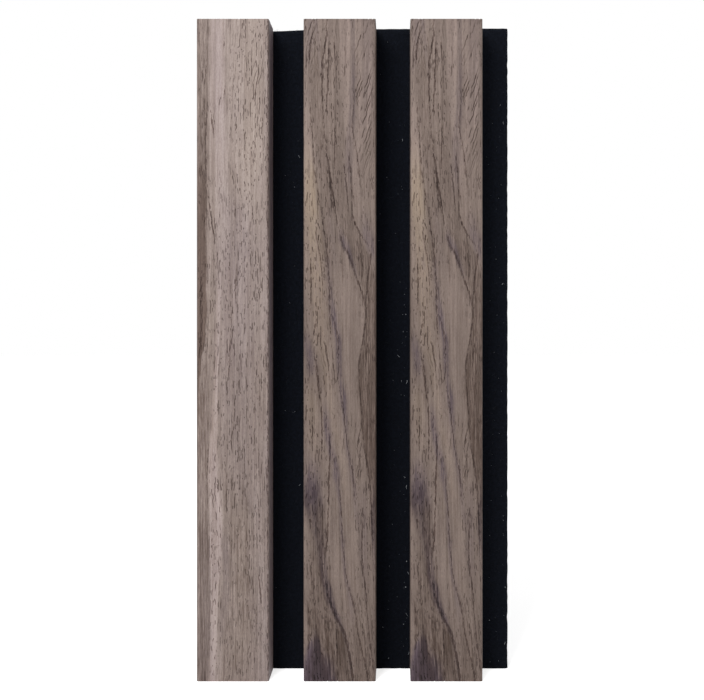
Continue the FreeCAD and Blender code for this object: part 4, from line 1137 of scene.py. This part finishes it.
# Handling has left lint on the black felt: pale specks of dust and short curled fibres, most of them down
# the gap beside the right slat and on the bare lap. Each has its place across, its height and its size.

LINT_GREY = (0.13, 0.14, 0.16, 1)
LINT_WHITE = (0.62, 0.66, 0.70, 1)
LINT_FIBRES = [
    (16.9, -2.7, 1.2), (20.0, -12.8, 1.4), (18.0, -12.4, 0.8), (19.2, -49.6, 1.0), (20.0, -53.5, 1.6),
    (20.7, -86.9, 1.3), (20.0, -102.8, 1.6), (20.7, -117.9, 1.2), (18.4, 81.0, 0.9), (57.4, 87.6, 1.2),
    (57.2, 25.2, 0.9), (58.0, -114.0, 1.1), (-21.6, 74.6, 1.2), (-21.5, -52.7, 0.9),
]
LINT_SPECKS = [
    (20.0, -82.2, 0.35), (19.6, -92.3, 0.4), (18.8, -106.6, 0.3), (13.0, -119.8, 0.28), (10.7, -107.8, 0.3),
    (12.6, 119.0, 0.25), (56.3, 94.6, 0.3), (55.6, 58.5, 0.25), (58.2, -92.3, 0.3), (52.1, -105.1, 0.35),
    (-23.5, 62.8, 0.28), (-23.3, -24.2, 0.36), (-27.1, -23.9, 0.2), (19.2, 21.2, 0.24), (19.0, 17.1, 0.22),
    (19.7, 13.4, 0.34), (18.5, 13.4, 0.2), (18.7, 6.7, 0.22), (20.1, 6.7, 0.24), (9.8, 106.5, 0.16),
    (9.6, 52.4, 0.18), (9.3, 42.0, 0.16),
]
# Specks of finer dust in the left gap, the right gap and on the lap, thickest at the right side of each.
FINE_DUST = (10, 46, 50)
FINE_DUST_SIZES = (0.1, 0.25)
FINE_DUST_SHADES = (0.2, 0.55)


def dust_speck(lint, chance, x, z, size, palest=1.0):
    """A speck is a tight tangle of three short threads."""
    out = Vector((0, -1, 0))
    middle = Vector((x, FELT_FRONT - 0.03, z))
    for _ in range(3):
        path = []
        for n in range(5):
            turn = chance.uniform(0, 6.28)
            reach = size * 0.5 * chance.uniform(0.4, 1)
            aside = Vector((math.cos(turn) * reach, 0, math.sin(turn) * reach))
            path.append(middle + aside + out * 0.03 * n)
        lint.thread(path, size * 0.45, chance.uniform(0.5, 1) * palest)


lint = FibreMesh()
for x, z, length in LINT_FIBRES:
    lean = chance.uniform(-0.9, 0.9)
    curl = chance.uniform(-0.5, 0.5)
    path = []
    for n in range(8):
        t = n / 7 - 0.5
        sideways = length * (t * math.sin(lean) + curl * (0.25 - t * t))
        lift = 0.05 + 0.12 * math.sin(math.pi * (t + 0.5))
        path.append((x + sideways, FELT_FRONT - lift, z + length * t * math.cos(lean)))
    lint.thread(path, chance.uniform(0.09, 0.16), chance.uniform(0.4, 0.9))
for x, z, size in LINT_SPECKS:
    dust_speck(lint, chance, x, z, size)
for (left, right), count in zip(GAPS, FINE_DUST):
    for _ in range(count):
        x = left + (right - left) * (0.08 + 0.84 * math.sqrt(chance.random()))
        z = chance.uniform(-122, 100)
        size = chance.uniform(*FINE_DUST_SIZES)
        dust_speck(lint, chance, x, z, size, chance.uniform(*FINE_DUST_SHADES))
lint_piece = lint.piece("felt_lint", fibre_finish("pale_lint", LINT_GREY, LINT_WHITE))
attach(lint_piece, "root")


# The studio: a wide pale floor under the panel's lower end, white beyond it, one large soft lamp high on
# the left in front, a faint one on the right, and soft light from all round.

FLOOR_PALE = (0.78, 0.78, 0.78, 1)
FLOOR_PALER = (0.8, 0.8, 0.8, 1)
FLOOR_GLOW = 0.7
FLOOR_REACH = 3.0
AMBIENT = 0.42


def seen_directly(tree):
    """1 where the camera or a reflection looks straight at it, and 0 where it only lights things."""
    ray = tree.nodes.new("ShaderNodeLightPath")
    total = ray.outputs["Is Camera Ray"]
    for kind in ("Is Glossy Ray", "Is Transmission Ray"):
        add = tree.nodes.new("ShaderNodeMath")
        add.operation = "MAXIMUM"
        tree.links.new(total, add.inputs[0])
        tree.links.new(ray.outputs[kind], add.inputs[1])
        total = add.outputs[0]
    return total


def studio_floor():
    """A pale floor that keeps the shadow and is otherwise as white as the backdrop."""
    finish = Finish("floor_paper")
    mottle = finish.cloud(finish.place(), (40, 40, 40), detail=2)
    tint = finish.blend(finish.soft_step(mottle, 0.3, 0.7), FLOOR_PALE, FLOOR_PALER)
    diffuse = finish.step("BsdfDiffuse", {"Color": tint, "Roughness": 0.5})
    lift = finish.times(seen_directly(finish.tree), FLOOR_GLOW)
    glow = finish.step("Emission", {"Color": (1, 1, 1, 1), "Strength": lift})
    both = finish.step("AddShader", {0: diffuse.outputs[0], 1: glow.outputs[0]})
    finish.fill(finish.tree.nodes["Material Output"], {"Surface": both.outputs[0]})
    return finish.material


floor_mesh = bpy.data.meshes.new("floor")
floor_height = cad_box[0][2]
ring = [(-1, -1), (1, -1), (1, 1), (-1, 1)]
corners = [(x * FLOOR_REACH, y * FLOOR_REACH, floor_height) for x, y in ring]
floor_mesh.from_pydata(corners, [], [(0, 1, 2, 3)])
floor_mesh.materials.append(studio_floor())
floor = bpy.data.objects.new("floor", floor_mesh)
bpy.context.scene.collection.objects.link(floor)

world = bpy.data.worlds.new("studio")
bpy.context.scene.world = world
world.use_nodes = True
sky = world.node_tree.nodes["Background"]
sky.inputs["Color"].default_value = (1, 1, 1, 1)
level = world.node_tree.nodes.new("ShaderNodeMapRange")
level.inputs["To Min"].default_value = AMBIENT
level.inputs["To Max"].default_value = 1
world.node_tree.links.new(seen_directly(world.node_tree), level.inputs["Value"])
world.node_tree.links.new(level.outputs["Result"], sky.inputs["Strength"])


def soft_lamp(name, place, aim, size, power):
    """A square lamp that shines towards a point."""
    lamp = bpy.data.lights.new(name, "AREA")
    lamp.shape = "SQUARE"
    lamp.size = size
    lamp.energy = power
    holder = bpy.data.objects.new(name, lamp)
    holder.location = place
    holder.rotation_euler = (Vector(aim) - Vector(place)).to_track_quat("-Z", "Y").to_euler()
    bpy.context.scene.collection.objects.link(holder)


soft_lamp("key", place=(-0.32, -0.64, 0.60), aim=(0, -0.02, 0.02), size=0.4, power=6.4)
soft_lamp("fill", place=(0.62, -0.42, -0.02), aim=(0, -0.02, -0.02), size=0.5, power=0.6)


# The camera stands 0.34 m in front of the slats, a little right of the middle and above it, and looks
# straight at the wall. The shift only slides the frame, so that the panel stands as in the photograph.

CAMERA_PLACE = (0.0157, -0.360, 0.0114)
LENS = 46.3
FRAME_SHIFT = (-0.0619, -0.0431)

camera = bpy.data.cameras.new("camera")
camera.lens = LENS
camera.sensor_width = 36
camera.shift_x, camera.shift_y = FRAME_SHIFT
camera.clip_start = 0.02
viewer = bpy.data.objects.new("camera", camera)
viewer.location = CAMERA_PLACE
viewer.rotation_euler = (math.pi / 2, 0, 0)
bpy.context.scene.collection.objects.link(viewer)
bpy.context.scene.camera = viewer
bpy.context.scene.view_settings.view_transform = "Standard"
